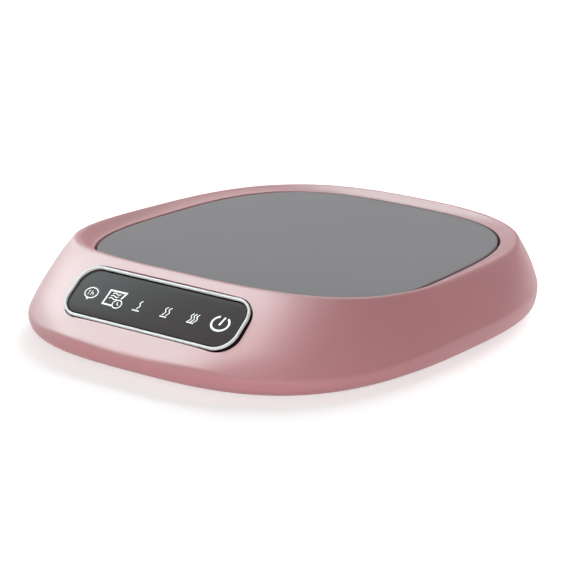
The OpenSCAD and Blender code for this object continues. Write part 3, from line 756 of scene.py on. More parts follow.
# --- what repeats or follows a path: Geometry Nodes -------------------------------------------------
class Recipe(Group):
    """A Geometry Nodes tree with named sizes, run once for each piece that it makes."""

    def __init__(self, name: str, sizes: dict) -> None:
        """Makes the tree's sockets.

        Args:
            name: the tree's name.
            sizes: the names and defaults of its inputs, lengths in metres.
        """
        super().__init__(name, "GeometryNodeTree",
                         {"Geometry": "Geometry", **sizes, "Material": "Material"},
                         {"Geometry": "Geometry"})

    def vector(self, x: object, y: object, z: object) -> NodeSocket:
        """Joins three numbers or sockets to a vector."""
        return self.add("ShaderNodeCombineXYZ", {"X": x, "Y": y, "Z": z})

    def along(self, low: object, high: object, count: object) -> NodeSocket:
        """An upright line from one height to another, cut into points.

        Args:
            low: height of its foot.
            high: height of its top.
            count: how many points it gets.

        Returns:
            The line.
        """
        line = self.add("GeometryNodeCurvePrimitiveLine", {"Start": self.vector(0.0, 0.0, low),
                                                           "End": self.vector(0.0, 0.0, high)})
        return self.add("GeometryNodeResampleCurve", {"Curve": line, "Count": count})

    def swept(self, line: NodeSocket, radius: object, sides: int, scale: object = 1.0) -> NodeSocket:
        """A round bar along a line.

        Args:
            line: its axis.
            radius: its radius.
            sides: how many sides it has.
            scale: the share of the radius that it has along the line.

        Returns:
            The closed mesh.
        """
        ring = self.add("GeometryNodeCurvePrimitiveCircle", {"Resolution": sides, "Radius": radius})
        return self.add("GeometryNodeCurveToMesh", {"Curve": line, "Profile Curve": ring,
                                                    "Scale": scale, "Fill Caps": True})

    def turned(self, line: NodeSocket, radius: object, points: list, sides: int = 36) -> NodeSocket:
        """A turned form along a line.

        Args:
            line: its axis.
            radius: its radius where the profile is 1.
            points: pairs of place along the line and share of the radius.
            sides: how many sides it has.

        Returns:
            The closed mesh.
        """
        node = self.node("ShaderNodeFloatCurve", {"Value": self.add("GeometryNodeSplineParameter", {})})
        curve = node.mapping.curves[0]
        curve.points[0].location, curve.points[1].location = points[0], points[-1]
        for place, share in points[1:-1]:
            curve.points.new(place, share)
        for point in curve.points:
            point.handle_type = "VECTOR"
        node.mapping.update()
        return self.swept(line, radius, sides, node.outputs[0])

    def placed(self, shape: NodeSocket, twist: float = 0.0) -> None:
        """Puts a shape on every given point, makes the copies real and paints them.

        Args:
            shape: the shape, its axis along Z.
            twist: the most that each copy is turned about its axis, in radians.
        """
        spots = self.add("GeometryNodeMeshToPoints", {"Mesh": self.size["Geometry"]})
        tilt = self.add("FunctionNodeEulerToRotation", {0: self.size["Tilt"]})
        copies = self.add("GeometryNodeInstanceOnPoints", {"Points": spots, "Instance": shape,
                                                           "Rotation": tilt})
        if twist:
            chance = self.add("FunctionNodeRandomValue", {"Seed": 7, 1: (0.0, 0.0, twist)},
                              data_type="FLOAT_VECTOR")
            copies = self.add("GeometryNodeRotateInstances", {"Instances": copies, "Rotation": chance,
                                                              "Local Space": True})
        self.close(copies)

    def close(self, made: NodeSocket) -> None:
        """Ends the tree with real, painted geometry.

        Args:
            made: the geometry, which may hold copies.
        """
        real = self.add("GeometryNodeRealizeInstances", {"Geometry": made})
        self.end(Geometry=self.add("GeometryNodeSetMaterial", {"Geometry": real,
                                                               "Material": self.size["Material"]}))

    def grow(self, name: str, points: list, finish: "Finish", sizes: dict, edges: list = ()) -> Object:
        """Runs the tree and keeps its plain mesh.

        Args:
            name: the piece's name.
            points: where its copies stand or its path runs, in millimetres.
            finish: its surface.
            sizes: the tree's inputs, by name.
            edges: pairs of points that a path runs between.

        Returns:
            The piece's object.
        """
        thing = mesh_object(name, points, [], edges)
        step = thing.modifiers.new("recipe", "NODES")
        step.node_group = self.tree
        for label, value in {**sizes, "Material": finish.material()}.items():
            step[self.keys[label]] = value
        return soften(settle(thing), 38.0)


class ScrewRecipe(Recipe):
    """Pan-head screws with a cross recess and a rolled thread."""

    small: ClassVar[dict] = {"Head Radius": 0.0015, "Head Height": 0.0009, "Shank Radius": 0.0008}

    def __init__(self) -> None:
        """Builds the tree: head, recess, core and thread."""
        super().__init__("pan_screw", {
            "Head Radius": 0.0023, "Head Height": 0.0012, "Shank Radius": 0.0012, "Length": 0.0062,
            "Thread Turns": 9.0, "Tilt": (0.0, 0.0, 0.0)})
        radius, height, shank = (self.size[n] for n in ("Head Radius", "Head Height", "Shank Radius"))
        under = self.maths("MULTIPLY", height, -1.0)
        tip = self.maths("SUBTRACT", under, self.size["Length"])
        head = self.turned(self.along(under, 0.0, 17), radius, [
            (0.0, 0.96), (0.07, 1.0), (0.45, 1.0), (0.72, 0.955), (0.88, 0.87), (1.0, 0.7)])
        width, arm = self.maths("MULTIPLY", radius, 0.28), self.maths("MULTIPLY", radius, 1.1)
        cross = [self.add("GeometryNodeMeshCube", {"Size": self.vector(*size)})
                 for size in ((arm, width, height), (width, arm, height))]
        cut = self.add("GeometryNodeMeshBoolean", {"Mesh 1": head, "Mesh 2": cross},
                       operation="DIFFERENCE", solver="EXACT")
        core = self.turned(self.along(tip, under, 13), self.maths("MULTIPLY", shank, 0.84),
                           [(0.0, 0.45), (0.16, 1.0), (0.6, 1.0), (1.0, 1.0)], 20)
        reach = self.maths("MULTIPLY", shank, 0.86)
        path = self.add("GeometryNodeCurveSpiral", {
            "Resolution": 18, "Rotations": self.size["Thread Turns"], "Start Radius": reach,
            "End Radius": reach, "Height": self.maths("MULTIPLY", self.size["Length"], 0.82)})
        thread = self.swept(path, self.maths("MULTIPLY", shank, 0.135), 4)
        low = self.maths("ADD", tip, self.maths("MULTIPLY", self.size["Length"], 0.15))
        thread = self.add("GeometryNodeTransform", {"Geometry": thread,
                                                    "Translation": self.vector(0.0, 0.0, low)})
        self.placed(self.add("GeometryNodeJoinGeometry", {"Geometry": [cut, core, thread]}), math.pi / 2)

    def drive(self, name: str, node: str, spots: list, sizes: dict) -> Object:
        """Puts steel screws on points and lets them stand for a node."""
        return stand_in(self.grow(name, spots, STEEL, sizes), STEEL, "screw_steel", node)


class CoilRecipe(Recipe):
    """Compression springs with closed end turns."""

    def __init__(self) -> None:
        """Builds the tree: a rising coil of round wire."""
        super().__init__("coil_spring", {"Mean Radius": 0.0043, "Wire Radius": 0.0003, "Height": 0.0084,
                                         "Turns": 5.0, "Tilt": (0.0, 0.0, 0.0)})
        wire, turns = self.size["Wire Radius"], self.size["Turns"]
        count = self.maths("ADD", self.maths("MULTIPLY", turns, 40.0), 1.0)
        line = self.along(0.0, self.size["Height"], count)
        share = self.add("GeometryNodeSplineParameter", {})
        angle = self.maths("MULTIPLY", share, self.maths("MULTIPLY", turns, 2 * math.pi))
        first = self.maths("DIVIDE", 0.5, turns)
        span = {"Value": share, "From Min": first, "From Max": self.maths("SUBTRACT", 1.0, first)}
        soft = self.add("ShaderNodeMapRange", span, interpolation_type="SMOOTHSTEP")
        even = self.add("ShaderNodeMapRange", span)
        rise = self.maths("ADD", self.maths("MULTIPLY", soft, 0.35), self.maths("MULTIPLY", even, 0.65))
        room = self.maths("SUBTRACT", self.size["Height"], self.maths("MULTIPLY", wire, 2.0))
        reach = self.size["Mean Radius"]
        spot = self.vector(self.maths("MULTIPLY", reach, self.maths("COSINE", angle)),
                           self.maths("MULTIPLY", reach, self.maths("SINE", angle)),
                           self.maths("ADD", wire, self.maths("MULTIPLY", room, rise)))
        path = self.add("GeometryNodeSetPosition", {"Geometry": line, "Position": spot})
        self.placed(self.swept(path, wire, 12))

    def wind(self, node: str, spot: tuple, finish: "Finish", slot: str, sizes: dict) -> Object:
        """Puts a spring on a point and lets it stand for its node."""
        return stand_in(self.grow(node + "_coil", [spot], finish, sizes), finish, slot, node)


class LeadRecipe(Recipe):
    """Round insulated leads on smooth paths."""

    def __init__(self) -> None:
        """Builds the tree: a smooth line through the points, and a tube round it."""
        super().__init__("round_lead", {"Radius": 0.00065, "Steps": 36})
        line = self.add("GeometryNodeMeshToCurve", {"Mesh": self.size["Geometry"]})
        line = self.add("GeometryNodeCurveSplineType", {"Curve": line}, spline_type="CATMULL_ROM")
        line = self.add("GeometryNodeResampleCurve", {"Curve": line, "Count": self.size["Steps"]})
        self.close(self.swept(line, self.size["Radius"], 16))

    def lay(self, node: str, paths: list, finish: "Finish", slot: str, radius: float) -> Object:
        """Lays leads along paths and lets them stand for their node.

        Args:
            node: the node.
            paths: for each lead its points, in millimetres.
            finish: the insulation's surface.
            slot: the record's material slot.
            radius: the leads' radius in millimetres.

        Returns:
            The leads as one object, on their node's body.
        """
        points = [point for path in paths for point in path]
        edges, start = [], 0
        for path in paths:
            edges += [(start + i, start + i + 1) for i in range(len(path) - 1)]
            start += len(path)
        run = self.grow(node + "_run", points, finish, {"Radius": radius * MM}, edges)
        return stand_in(run, finish, slot, node)


# --- shared shader effects ---------------------------------------------------------------------------
class Effect:
    """Shader node groups that several finishes share, each built once."""

    @staticmethod
    def group(name: str, inputs: dict, outputs: dict) -> Group:
        """An empty group that reads a position."""
        return Group(name, "ShaderNodeTree", {"Position": "Vector", **inputs}, outputs)

    @staticmethod
    @cache
    def grain() -> NodeTree:
        """The fine texture of a moulded or sanded face, as a height from 0 to 1.

        Returns:
            The group's tree.
        """
        g = Effect.group("grain", {"Scale": 2500.0, "Pits": 0.3}, {"Height": "Float"})
        where, scale = g.size["Position"], g.size["Scale"]
        fine = g.noise(where, scale, 3.0, 0.55)
        coarse = g.noise(where, g.maths("MULTIPLY", scale, 0.21), 1.0, 0.5)
        both = g.maths("ADD", fine, g.maths("MULTIPLY", coarse, g.size["Pits"]))
        return g.end(Height=g.maths("MULTIPLY", both, 0.7))

    @staticmethod
    @cache
    def drift() -> NodeTree:
        """A slow change of tone and gloss over a face, as from cooling and handling.

        Returns:
            The group's tree.
        """
        g = Effect.group("drift", {"Color": "Color", "Second Color": "Color", "Scale": 30.0,
                                   "Roughness": 0.4, "Spread": 0.05},
                         {"Color": "Color", "Roughness": "Float"})
        slow = g.noise(g.size["Position"], g.size["Scale"], 2.0, 0.5)
        shift = g.maths("MULTIPLY", g.maths("SUBTRACT", slow, 0.5), g.size["Spread"])
        return g.end(Color=g.mixed(slow, g.size["Color"], g.size["Second Color"]),
                     Roughness=g.maths("ADD", g.size["Roughness"], shift))

    @staticmethod
    @cache
    def brushing() -> NodeTree:
        """Fine straight scratches, as a height from 0 to 1.

        Returns:
            The group's tree.
        """
        g = Effect.group("brushing", {"Stretch": (1, 1, 1), "Scale": 4000.0}, {"Height": "Float"})
        drawn = g.add("ShaderNodeVectorMath", {0: g.size["Position"], 1: g.size["Stretch"]},
                      operation="MULTIPLY")
        return g.end(Height=g.noise(drawn, g.size["Scale"], 2.0, 0.6))

    @staticmethod
    @cache
    def stripes() -> NodeTree:
        """Even stripes across a direction, as a mask.

        Returns:
            The group's tree.
        """
        g = Effect.group("stripes", {"Across": (1, 0, 0), "Share": 0.5}, {"Mask": "Float"})
        dot = g.node("ShaderNodeVectorMath", {0: g.size["Position"], 1: g.size["Across"]},
                     operation="DOT_PRODUCT")
        wave = g.maths("PINGPONG", dot.outputs["Value"], 0.5)
        return g.end(Mask=g.maths("LESS_THAN", wave, g.maths("MULTIPLY", g.size["Share"], 0.5)))

    @staticmethod
    @cache
    def tracks() -> NodeTree:
        """Patches of parallel tracks that run across or along, and round pads, as two masks.

        Returns:
            The group's tree.
        """
        g = Effect.group("tracks", {"Scale": 1000.0}, {"Tracks": "Float", "Pads": "Float"})
        where, scale = g.size["Position"], g.size["Scale"]
        patch = g.node("ShaderNodeTexVoronoi", {
            "Vector": where, "Scale": g.maths("MULTIPLY", scale, 0.16)}, distance="CHEBYCHEV")
        pads = g.node("ShaderNodeTexVoronoi", {"Vector": where, "Scale": g.maths("MULTIPLY", scale, 0.3),
                                               "Randomness": 0.4})
        parts = g.node("ShaderNodeSeparateXYZ", {0: where}).outputs
        tone = g.node("ShaderNodeSeparateColor", {0: patch.outputs["Color"]}).outputs
        pick = g.maths("GREATER_THAN", tone[0], 0.5)
        across = g.maths("MULTIPLY", g.maths("SUBTRACT", 1.0, pick), parts["Y"])
        place = g.maths("ADD", g.maths("MULTIPLY", pick, parts["X"]), across)
        wave = g.maths("PINGPONG", g.maths("MULTIPLY", place, scale), 0.5)
        used = g.maths("GREATER_THAN", tone[1], 0.3)
        return g.end(Tracks=g.maths("MULTIPLY", g.maths("LESS_THAN", wave, 0.2), used),
                     Pads=g.maths("LESS_THAN", pads.outputs["Distance"], 0.12))


# --- finishes ------------------------------------------------------------------------------------------
@dataclass(frozen=True)
class Finish:
    """A surface: its colours, gloss and fine texture.

    color and second_color are linear, and the tone drifts between them. grain_mm is the size of
    the texture's grain and grain_depth_mm its depth.
    """

    name: str
    color: tuple
    second_color: tuple
    roughness: float = 0.45
    spread: float = 0.06
    metallic: float = 0.0
    ior: float = 1.5
    specular: float = 0.5
    coat: float = 0.0
    coat_roughness: float = 0.1
    coat_ior: float = 1.5
    grain_mm: float = 0.4
    grain_depth_mm: float = 0.004
    drift_mm: float = 30.0
    # glow makes a face give off light of its own colour: painted light, not a lamp
    glow: float = 0.0
    made: ClassVar[dict] = {}

    def pattern(self, wires: Wiring, where: NodeSocket, color: NodeSocket) -> NodeSocket:
        """Draws what a finish adds to its drifting tone; a plain one adds nothing."""
        return color

    def height(self, wires: Wiring, where: NodeSocket) -> NodeSocket:
        """The fine texture's height, from 0 to 1."""
        return wires.effect(Effect.grain(), where, {"Scale": 1.0 / (self.grain_mm * MM)})["Height"]

    def material(self) -> Material:
        """The finish as a material, built at its first use.

        Returns:
            The material, shared by every piece of this finish.
        """
        if self.name in self.made:
            return self.made[self.name]
        made = self.made[self.name] = bpy.data.materials.new(self.name + "_finish")
        made.use_nodes = True
        wires, shader = Wiring(made.node_tree), made.node_tree.nodes["Principled BSDF"]
        where = wires.node("ShaderNodeTexCoord", {}).outputs["Object"]
        drift = wires.effect(Effect.drift(), where, {
            "Color": (*self.color, 1.0), "Second Color": (*self.second_color, 1.0),
            "Scale": 1.0 / (self.drift_mm * MM), "Roughness": self.roughness, "Spread": self.spread})
        color = self.pattern(wires, where, drift["Color"])
        bump = wires.add("ShaderNodeBump", {"Strength": 1.0, "Distance": self.grain_depth_mm * MM,
                                            "Height": self.height(wires, where)})
        wires.feed(shader, {
            "Base Color": color, "Roughness": drift["Roughness"], "Normal": bump,
            "Metallic": self.metallic, "IOR": self.ior, "Specular IOR Level": self.specular,
            "Coat Weight": self.coat, "Coat Roughness": self.coat_roughness, "Coat IOR": self.coat_ior})
        # painted light: the face glows with its own colour
        if self.glow:
            wires.feed(shader, {"Emission Color": color, "Emission Strength": self.glow})
        return made


@dataclass(frozen=True)
class BrushedMetal(Finish):
    """A metal with fine scratches along one direction."""

    stretch: tuple = (0.03, 1.0, 1.0)

    def height(self, wires: Wiring, where: NodeSocket) -> NodeSocket:
        """The scratches' height, from 0 to 1."""
        return wires.effect(Effect.brushing(), where, {
            "Stretch": self.stretch, "Scale": 1.0 / (self.grain_mm * MM)})["Height"]


@dataclass(frozen=True)
class Striped(Finish):
    """A sheet with even stripes, such as a foil heater or a flat cable.

    across is the stripes' direction, pitch_mm their spacing and share how much of it they fill.
    """

    stripe: tuple = (0.6, 0.6, 0.6)
    across: tuple = (1.0, 0.0, 0.0)
    pitch_mm: float = 1.0
    share: float = 0.5

    def pattern(self, wires: Wiring, where: NodeSocket, color: NodeSocket) -> NodeSocket:
        """Draws the stripes over the sheet.

        Args:
            wires: the material's tree.
            where: the position on the piece.
            color: the colour below.

        Returns:
            The colour with the pattern.
        """
        across = tuple(v / (self.pitch_mm * MM) for v in self.across)
        lines = wires.effect(Effect.stripes(), where, {"Across": across, "Share": self.share})
        return wires.mixed(lines["Mask"], color, (*self.stripe, 1.0))


@dataclass(frozen=True)
class PaintedShadeTrim(Finish):
    """Bright trim painted dark below a plane: painted shade that stands for the shadow gap round the
    trim.

    out is the plane's outward direction and level_mm its distance from the frame's origin; core is the
    painted shade's colour.
    """

    # core: colour of the painted shade below the plane, standing for the dark gap
    core: tuple = (0.012, 0.009, 0.009)
    out: tuple = (0.0, 0.0, 1.0)
    level_mm: float = 0.0

    def pattern(self, wires: Wiring, where: NodeSocket, color: NodeSocket) -> NodeSocket:
        """Lays the core's colour, a painted shade, over what lies below the plane.

        Args:
            wires: the material's tree.
            where: the position on the piece.
            color: the colour below.

        Returns:
            The colour with the pattern.
        """
        # painted shade: faces below the plane are painted dark, in place of the gap's shadow
        rise = wires.node("ShaderNodeVectorMath", {0: where, 1: self.out}, operation="DOT_PRODUCT")
        below = wires.maths("LESS_THAN", rise.outputs["Value"], self.level_mm * MM)
        return wires.mixed(below, color, (*self.core, 1.0))


@dataclass(frozen=True)
class CircuitBoard(Finish):
    """Lacquered board with copper tracks below the lacquer and tinned pads."""

    track: tuple = (0.030, 0.22, 0.075)
    pad: tuple = (0.62, 0.62, 0.58)
    pitch_mm: float = 0.9

    def pattern(self, wires: Wiring, where: NodeSocket, color: NodeSocket) -> NodeSocket:
        """Draws tracks and pads over the lacquer.

        Args:
            wires: the material's tree.
            where: the position on the piece.
            color: the colour below.

        Returns:
            The colour with the pattern.
        """
        laid = wires.effect(Effect.tracks(), where, {"Scale": 1.0 / (self.pitch_mm * MM)})
        tracks = wires.mixed(laid["Tracks"], color, (*self.track, 1.0))
        return wires.mixed(laid["Pads"], tracks, (*self.pad, 1.0))


SHELL_PINK = Finish("shell_pink", (0.64, 0.285, 0.305), (0.61, 0.27, 0.29), 0.4, 0.03, ior=1.55,
                    grain_mm=0.5, grain_depth_mm=0.0015, drift_mm=60.0)
PLATE_GLASS = Finish("satin_glass", (0.255, 0.242, 0.255), (0.242, 0.229, 0.242), 0.6, 0.04,
                     specular=0.15, grain_mm=0.25, grain_depth_mm=0.002)
# bright trim; in bezel() its faces below the top are painted dark as painted shade of the gap
CHROME = PaintedShadeTrim("bright_trim", (0.88, 0.87, 0.88), (0.85, 0.84, 0.85), 0.24, 0.04, metallic=0.01,
                    specular=0.4, grain_mm=0.6, grain_depth_mm=0.0)
LENS = Finish("lens_smoke", (0.052, 0.030, 0.033), (0.048, 0.026, 0.029), 0.22, 0.03, specular=0.052,
              grain_mm=0.3, grain_depth_mm=0.0003)
# the printed signs glow a little: painted light that brightens the white ink
SYMBOL_INK = Finish("symbol_ink", (0.90, 0.90, 0.90), (0.86, 0.86, 0.87), 0.5, 0.04, glow=0.35)
FOOT_RUBBER = Finish("foot_rubber", (0.022, 0.022, 0.024), (0.030, 0.030, 0.031), 0.75, 0.1,
                     grain_mm=0.35, grain_depth_mm=0.01)
BLACK_PLASTIC = Finish("black_plastic", (0.020, 0.020, 0.022), (0.028, 0.028, 0.030), 0.5, 0.08,
                       grain_mm=0.3, grain_depth_mm=0.008)
STEEL = BrushedMetal("zinc_steel", (0.55, 0.56, 0.58), (0.48, 0.48, 0.50), 0.3, 0.12, metallic=1.0,
                     grain_mm=0.2, grain_depth_mm=0.002, drift_mm=3.0)
SPRING_WIRE = BrushedMetal("spring_wire", (0.42, 0.42, 0.44), (0.34, 0.34, 0.36), 0.28, 0.1, metallic=1.0,
                           grain_mm=0.1, grain_depth_mm=0.002, drift_mm=2.0, stretch=(1.0, 1.0, 0.1))
COPPER = BrushedMetal("copper_wire", (0.80, 0.44, 0.29), (0.68, 0.35, 0.22), 0.3, 0.1, metallic=1.0,
                      grain_mm=0.1, grain_depth_mm=0.002, drift_mm=2.0, stretch=(1.0, 1.0, 0.1))
NICKEL = BrushedMetal("nickel_contact", (0.66, 0.64, 0.59), (0.58, 0.56, 0.52), 0.18, 0.08, metallic=1.0,
                      grain_mm=0.1, grain_depth_mm=0.001, drift_mm=2.0, stretch=(1.0, 0.05, 1.0))
STRAP_METAL = BrushedMetal("strap_metal", (0.60, 0.60, 0.59), (0.54, 0.54, 0.53), 0.35, 0.1, metallic=1.0,
                           grain_mm=0.2, grain_depth_mm=0.003, drift_mm=8.0)
ALUMINIUM = BrushedMetal("milled_aluminium", (0.76, 0.77, 0.78), (0.70, 0.71, 0.72), 0.34, 0.08,
                         metallic=1.0, grain_mm=0.4, grain_depth_mm=0.004, stretch=(0.02, 1.0, 1.0))
CAN_METAL = BrushedMetal("can_metal", (0.70, 0.71, 0.72), (0.62, 0.63, 0.65), 0.25, 0.08, metallic=1.0,
                         grain_mm=0.15, grain_depth_mm=0.002, drift_mm=4.0, stretch=(0.05, 1.0, 1.0))
ADHESIVE = Finish("adhesive_film", (0.50, 0.50, 0.49), (0.43, 0.43, 0.42), 0.55, 0.1, grain_mm=0.8,
                  grain_depth_mm=0.02, drift_mm=6.0)
MICA = Striped("mica_heater", (0.46, 0.36, 0.22), (0.38, 0.29, 0.17), 0.45, 0.1, grain_mm=0.7,
               grain_depth_mm=0.01, drift_mm=9.0, stripe=(0.20, 0.19, 0.18), across=(0.0, 1.0, 0.0),
               pitch_mm=3.6, share=0.62)
FELT = Finish("ceramic_felt", (0.80, 0.78, 0.73), (0.66, 0.64, 0.59), 0.95, 0.04, specular=0.2,
              grain_mm=0.35, grain_depth_mm=0.12, drift_mm=1.6)
CARRIER_NYLON = Finish("carrier_nylon", (0.030, 0.030, 0.032), (0.042, 0.042, 0.044), 0.55, 0.1,
                       grain_mm=0.5, grain_depth_mm=0.01, drift_mm=14.0)
EPOXY_BEAD = Finish("epoxy_bead", (0.022, 0.020, 0.020), (0.032, 0.030, 0.030), 0.2, 0.08, coat=0.4,
                    grain_mm=0.6, grain_depth_mm=0.004, drift_mm=2.0)
CERAMIC = Finish("cutout_ceramic", (0.76, 0.74, 0.69), (0.68, 0.65, 0.60), 0.45, 0.1, grain_mm=0.3,
                 grain_depth_mm=0.01, drift_mm=3.0)
NYLON = Finish("natural_nylon", (0.80, 0.79, 0.74), (0.74, 0.73, 0.67), 0.42, 0.08, grain_mm=0.35,
               grain_depth_mm=0.006, drift_mm=5.0)
LIGHT_GUIDE = Finish("light_guide", (0.84, 0.84, 0.83), (0.78, 0.78, 0.78), 0.3, 0.06, coat=0.2,
                     grain_mm=0.4, grain_depth_mm=0.003, drift_mm=9.0)
LED_RESIN = Finish("led_resin", (0.86, 0.78, 0.36), (0.80, 0.70, 0.28), 0.25, 0.05, coat=0.5,
                   grain_mm=0.3, grain_depth_mm=0.002, drift_mm=1.0)
CHIP_EPOXY = Finish("chip_epoxy", (0.020, 0.020, 0.021), (0.033, 0.033, 0.034), 0.6, 0.1, grain_mm=0.18,
                    grain_depth_mm=0.01, drift_mm=2.5)
FERRITE = Finish("ferrite", (0.060, 0.058, 0.060), (0.095, 0.092, 0.094), 0.5, 0.12, grain_mm=0.25,
                 grain_depth_mm=0.02, drift_mm=0.8)
BOARD_GREEN = CircuitBoard("board_lacquer", (0.012, 0.12, 0.045), (0.016, 0.14, 0.055), 0.28, 0.06,
                           coat=0.3, grain_mm=0.5, grain_depth_mm=0.003, drift_mm=12.0)
RIBBON = Striped("flat_cable", (0.78, 0.77, 0.73), (0.72, 0.71, 0.66), 0.4, 0.06, grain_mm=0.5,
                 grain_depth_mm=0.005, drift_mm=8.0, stripe=(0.50, 0.46, 0.40), pitch_mm=1.0, share=0.5)
HEATER_SILICONE = Finish("heater_silicone", (0.58, 0.035, 0.025), (0.50, 0.028, 0.020), 0.5, 0.08,
                         grain_mm=0.3, grain_depth_mm=0.006, drift_mm=3.0)
SENSOR_SLEEVE = Finish("sensor_sleeve", (0.035, 0.10, 0.50), (0.028, 0.08, 0.42), 0.4, 0.08,
                       grain_mm=0.3, grain_depth_mm=0.004, drift_mm=2.0)
BLACK_WIRE = Finish("black_wire", (0.022, 0.022, 0.023), (0.034, 0.034, 0.035), 0.45, 0.08, grain_mm=0.3,
                    grain_depth_mm=0.005, drift_mm=3.0)
PLUNGER_RED = Finish("plunger_red", (0.52, 0.035, 0.028), (0.46, 0.030, 0.024), 0.38, 0.06, grain_mm=0.3,
                     grain_depth_mm=0.003, drift_mm=2.0)


# --- sub-assemblies ----------------------------------------------------------------------------------
@dataclass
class Housing:
    """The pink shell with its rim, slopes, panel pocket and screw bosses.

    lip_push and crest_wall are pairs of a way sideways and a way up or down. thick_side says how
    much thicker than the wall the slope is when measured level.
    """

    form: BodyForm
    bead: float = 0.35
    bevel_hollow: float = 0.12
    crest_round: float = 0.5
    crease_reach: float = 0.05
    crease_push: float = 0.05
    front_pull: float = 0.12
    pull_depth: float = 7.0
    pocket_gap: float = 0.42
    pocket_top: float = 4.0
    panel_frame: Bar = Bar(65.8, 19.2, 7.0, -4.2, -2.0)
    window: Bar = Bar(55.0, 12.0, 3.9, -6.2, -1.0)
    board_room: Bar = Bar(65.0, 14.8, 0.3, -5.5, -4.18)
    panel_pilot: tuple = ((0.82, -5.0), (0.82, -2.42))
    inlet_y: float = 64.7
    inlet_w: float = 9.2
    inlet_d: float = 19.0
    inlet_z: tuple = (3.2, 10.2)
    inlet_corner: float = 0.4
    inlet_soft: float = 0.05
    lip_share: float = 0.03
    lip_push: tuple = (0.25, 0.09)
    thick_side: float = 1.14
    inner_shares: tuple = (0.9, 0.62, 0.34, 0.16)
    crest_wall: tuple = (1.1, 3.0)
    skirt: float = 1.3
    skirt_drop: float = 2.0
    flange_z: float = 14.1
    boss_r: float = 3.0
    boss_low: float = 4.2
    boss_top: float = 10.3
    boss_soft: float = 0.25
    pilot_r: float = 1.22
    pilot_depth: float = 5.0
    rib_t: float = 1.6
    rib_low: float = 5.8
    rib_drop: float = 1.6

    def bosses(self) -> tuple:
        """Makes the screw bosses, the ribs that tie them to the wall, and their pilot holes.

        Returns:
            The bosses and ribs, and the holes.
        """
        f, solid, holes = self.form, [], []
        share = (self.boss_top - f.crease_z) / (f.shoulder.z - f.crease_z)
        low_line = f.crease.inset(f.wall * 0.75, f.wall * 0.75)
        high_line = f.crease.mixed(f.shoulder, share).inset(f.wall * 0.85, f.wall * 1.15)
        for i, angle in enumerate(f.boss_angles):
            x, y = f.inside_at(f.boss_inset, angle)
            profile = [(self.boss_r - self.boss_soft, self.boss_low),
                       (self.boss_r, self.boss_low + self.boss_soft), (self.boss_r, self.boss_top)]
            solid.append(tube(f"boss_{i}", round_rows((x, y, 0.0), profile, 48)))
            low, high = low_line.at(angle)[:2] - (x, y), high_line.at(angle)[:2] - (x, y)
            foot, head = np.linalg.norm(low), np.linalg.norm(high)
            way = low / foot
            side = np.array([-way[1], way[0]]) * self.rib_t / 2
            edge = [(0.0, self.rib_low), (foot, self.rib_low), (foot, f.crease_z - self.rib_drop),
                    (head, self.boss_top), (0.0, self.boss_top)]
            solid.append(tube(f"rib_{i}", [
                np.array([(x + way[0] * far + s[0], y + way[1] * far + s[1], z) for far, z in edge])
                for s in (side, -side)]))
            hole = [(self.pilot_r, self.boss_low + z) for z in (-1.0, self.pilot_depth)]
            holes.append(tube(f"pilot_{i}", round_rows((x, y, 0.0), hole, 32)))
        return solid, holes

    def outer_rows(self) -> list:
        """Rows of the skin from the plate's opening over the rim and down to the lower edge.

        Returns:
            The rows, in order.
        """
        f = self.form
        top, low = f.plate_z, f.opening
        rows = [low.level(self.flange_z).ring()]
        for a in np.radians(np.linspace(0.0, 90.0, 6)):
            rows.append(low.grown(self.bead * (1 - math.cos(a)))
                        .level(top - self.bead * (1 - math.sin(a))).ring())
        start = low.grown(self.bead).level(top)
        high = f.crest.grown(-self.crest_round).raised(-self.crest_round * 0.75)
        rows += [start.mixed(high, t).raised(-self.bevel_hollow * 4 * t * (1 - t)).ring()
                 for t in np.linspace(0.0, 1.0, 9)[1:]]
        out, up = self.lip_push
        crest = f.pressed(f.crest.grown(out).raised(up).ring(), 0.0)
        rows += bend(rows[-1], crest, f.slope(self.lip_share), 8)[1:]
        rows += [f.slope(u) for u in np.linspace(self.lip_share, 1.0 - self.crease_reach, 30)[1:]]
        corner = f.pressed(f.crease.grown(self.crease_push).ring() + f.sag(1.0), 1.0)
        under = f.pressed(f.crease.mixed(f.tuck, 0.4).ring() + f.sag(0.6), 1.1)
        rows += bend(rows[-1], corner, under, 10)[1:]
        rows += bend(rows[-1], f.tuck.ring(), f.tuck.mixed(f.edge, 0.4).ring(), 6)[1:]
        rows += bend(rows[-1], f.edge.ring(), f.edge.grown(-0.5).ring(), 4)[1:]
        pull = np.array([0.0, self.front_pull, 0.0])
        return [row + ease((-row[:, 1:2] - f.body_d / 2) / self.pull_depth + 1.0) * pull for row in rows]

    def inner_rows(self) -> list:
        """Rows of the wall's inner face, from the lower edge back up to the opening.

        Returns:
            The rows, in order.
        """
        f = self.form
        side, front = f.wall * self.thick_side, f.wall / math.sin(math.radians(f.panel.tilt))
        (inward, down), skirt = self.crest_wall, f.opening.grown(self.skirt)
        return ([f.edge.grown(-f.wall).ring(), f.tuck.inset(f.wall, f.wall).ring(),
                 f.crease.inset(f.wall, f.wall).ring() + f.sag(1.0)]
                + [f.slope(u, side, front) for u in self.inner_shares]
                + [f.crest.grown(-inward).raised(-down).ring(),
                   skirt.level(f.plate_z - self.skirt_drop).ring(), skirt.level(self.flange_z).ring()])

    def inlet_cut(self) -> Object:
        """The block that is cut out of the back for the inlet.

        Returns:
            The block, its edges softened.
        """
        (low, high), soft = self.inlet_z, self.inlet_soft
        profile = [(soft, low), (soft * 0.3, low + soft * 0.3), (0.0, low + soft),
                   (0.0, high - soft), (soft * 0.3, high - soft * 0.3), (soft, high)]
        rows = bar_rows(self.inlet_w, self.inlet_d, self.inlet_corner, profile, 5)
        return tube("inlet_cut", [row + np.array([0.0, self.inlet_y, 0.0]) for row in rows])

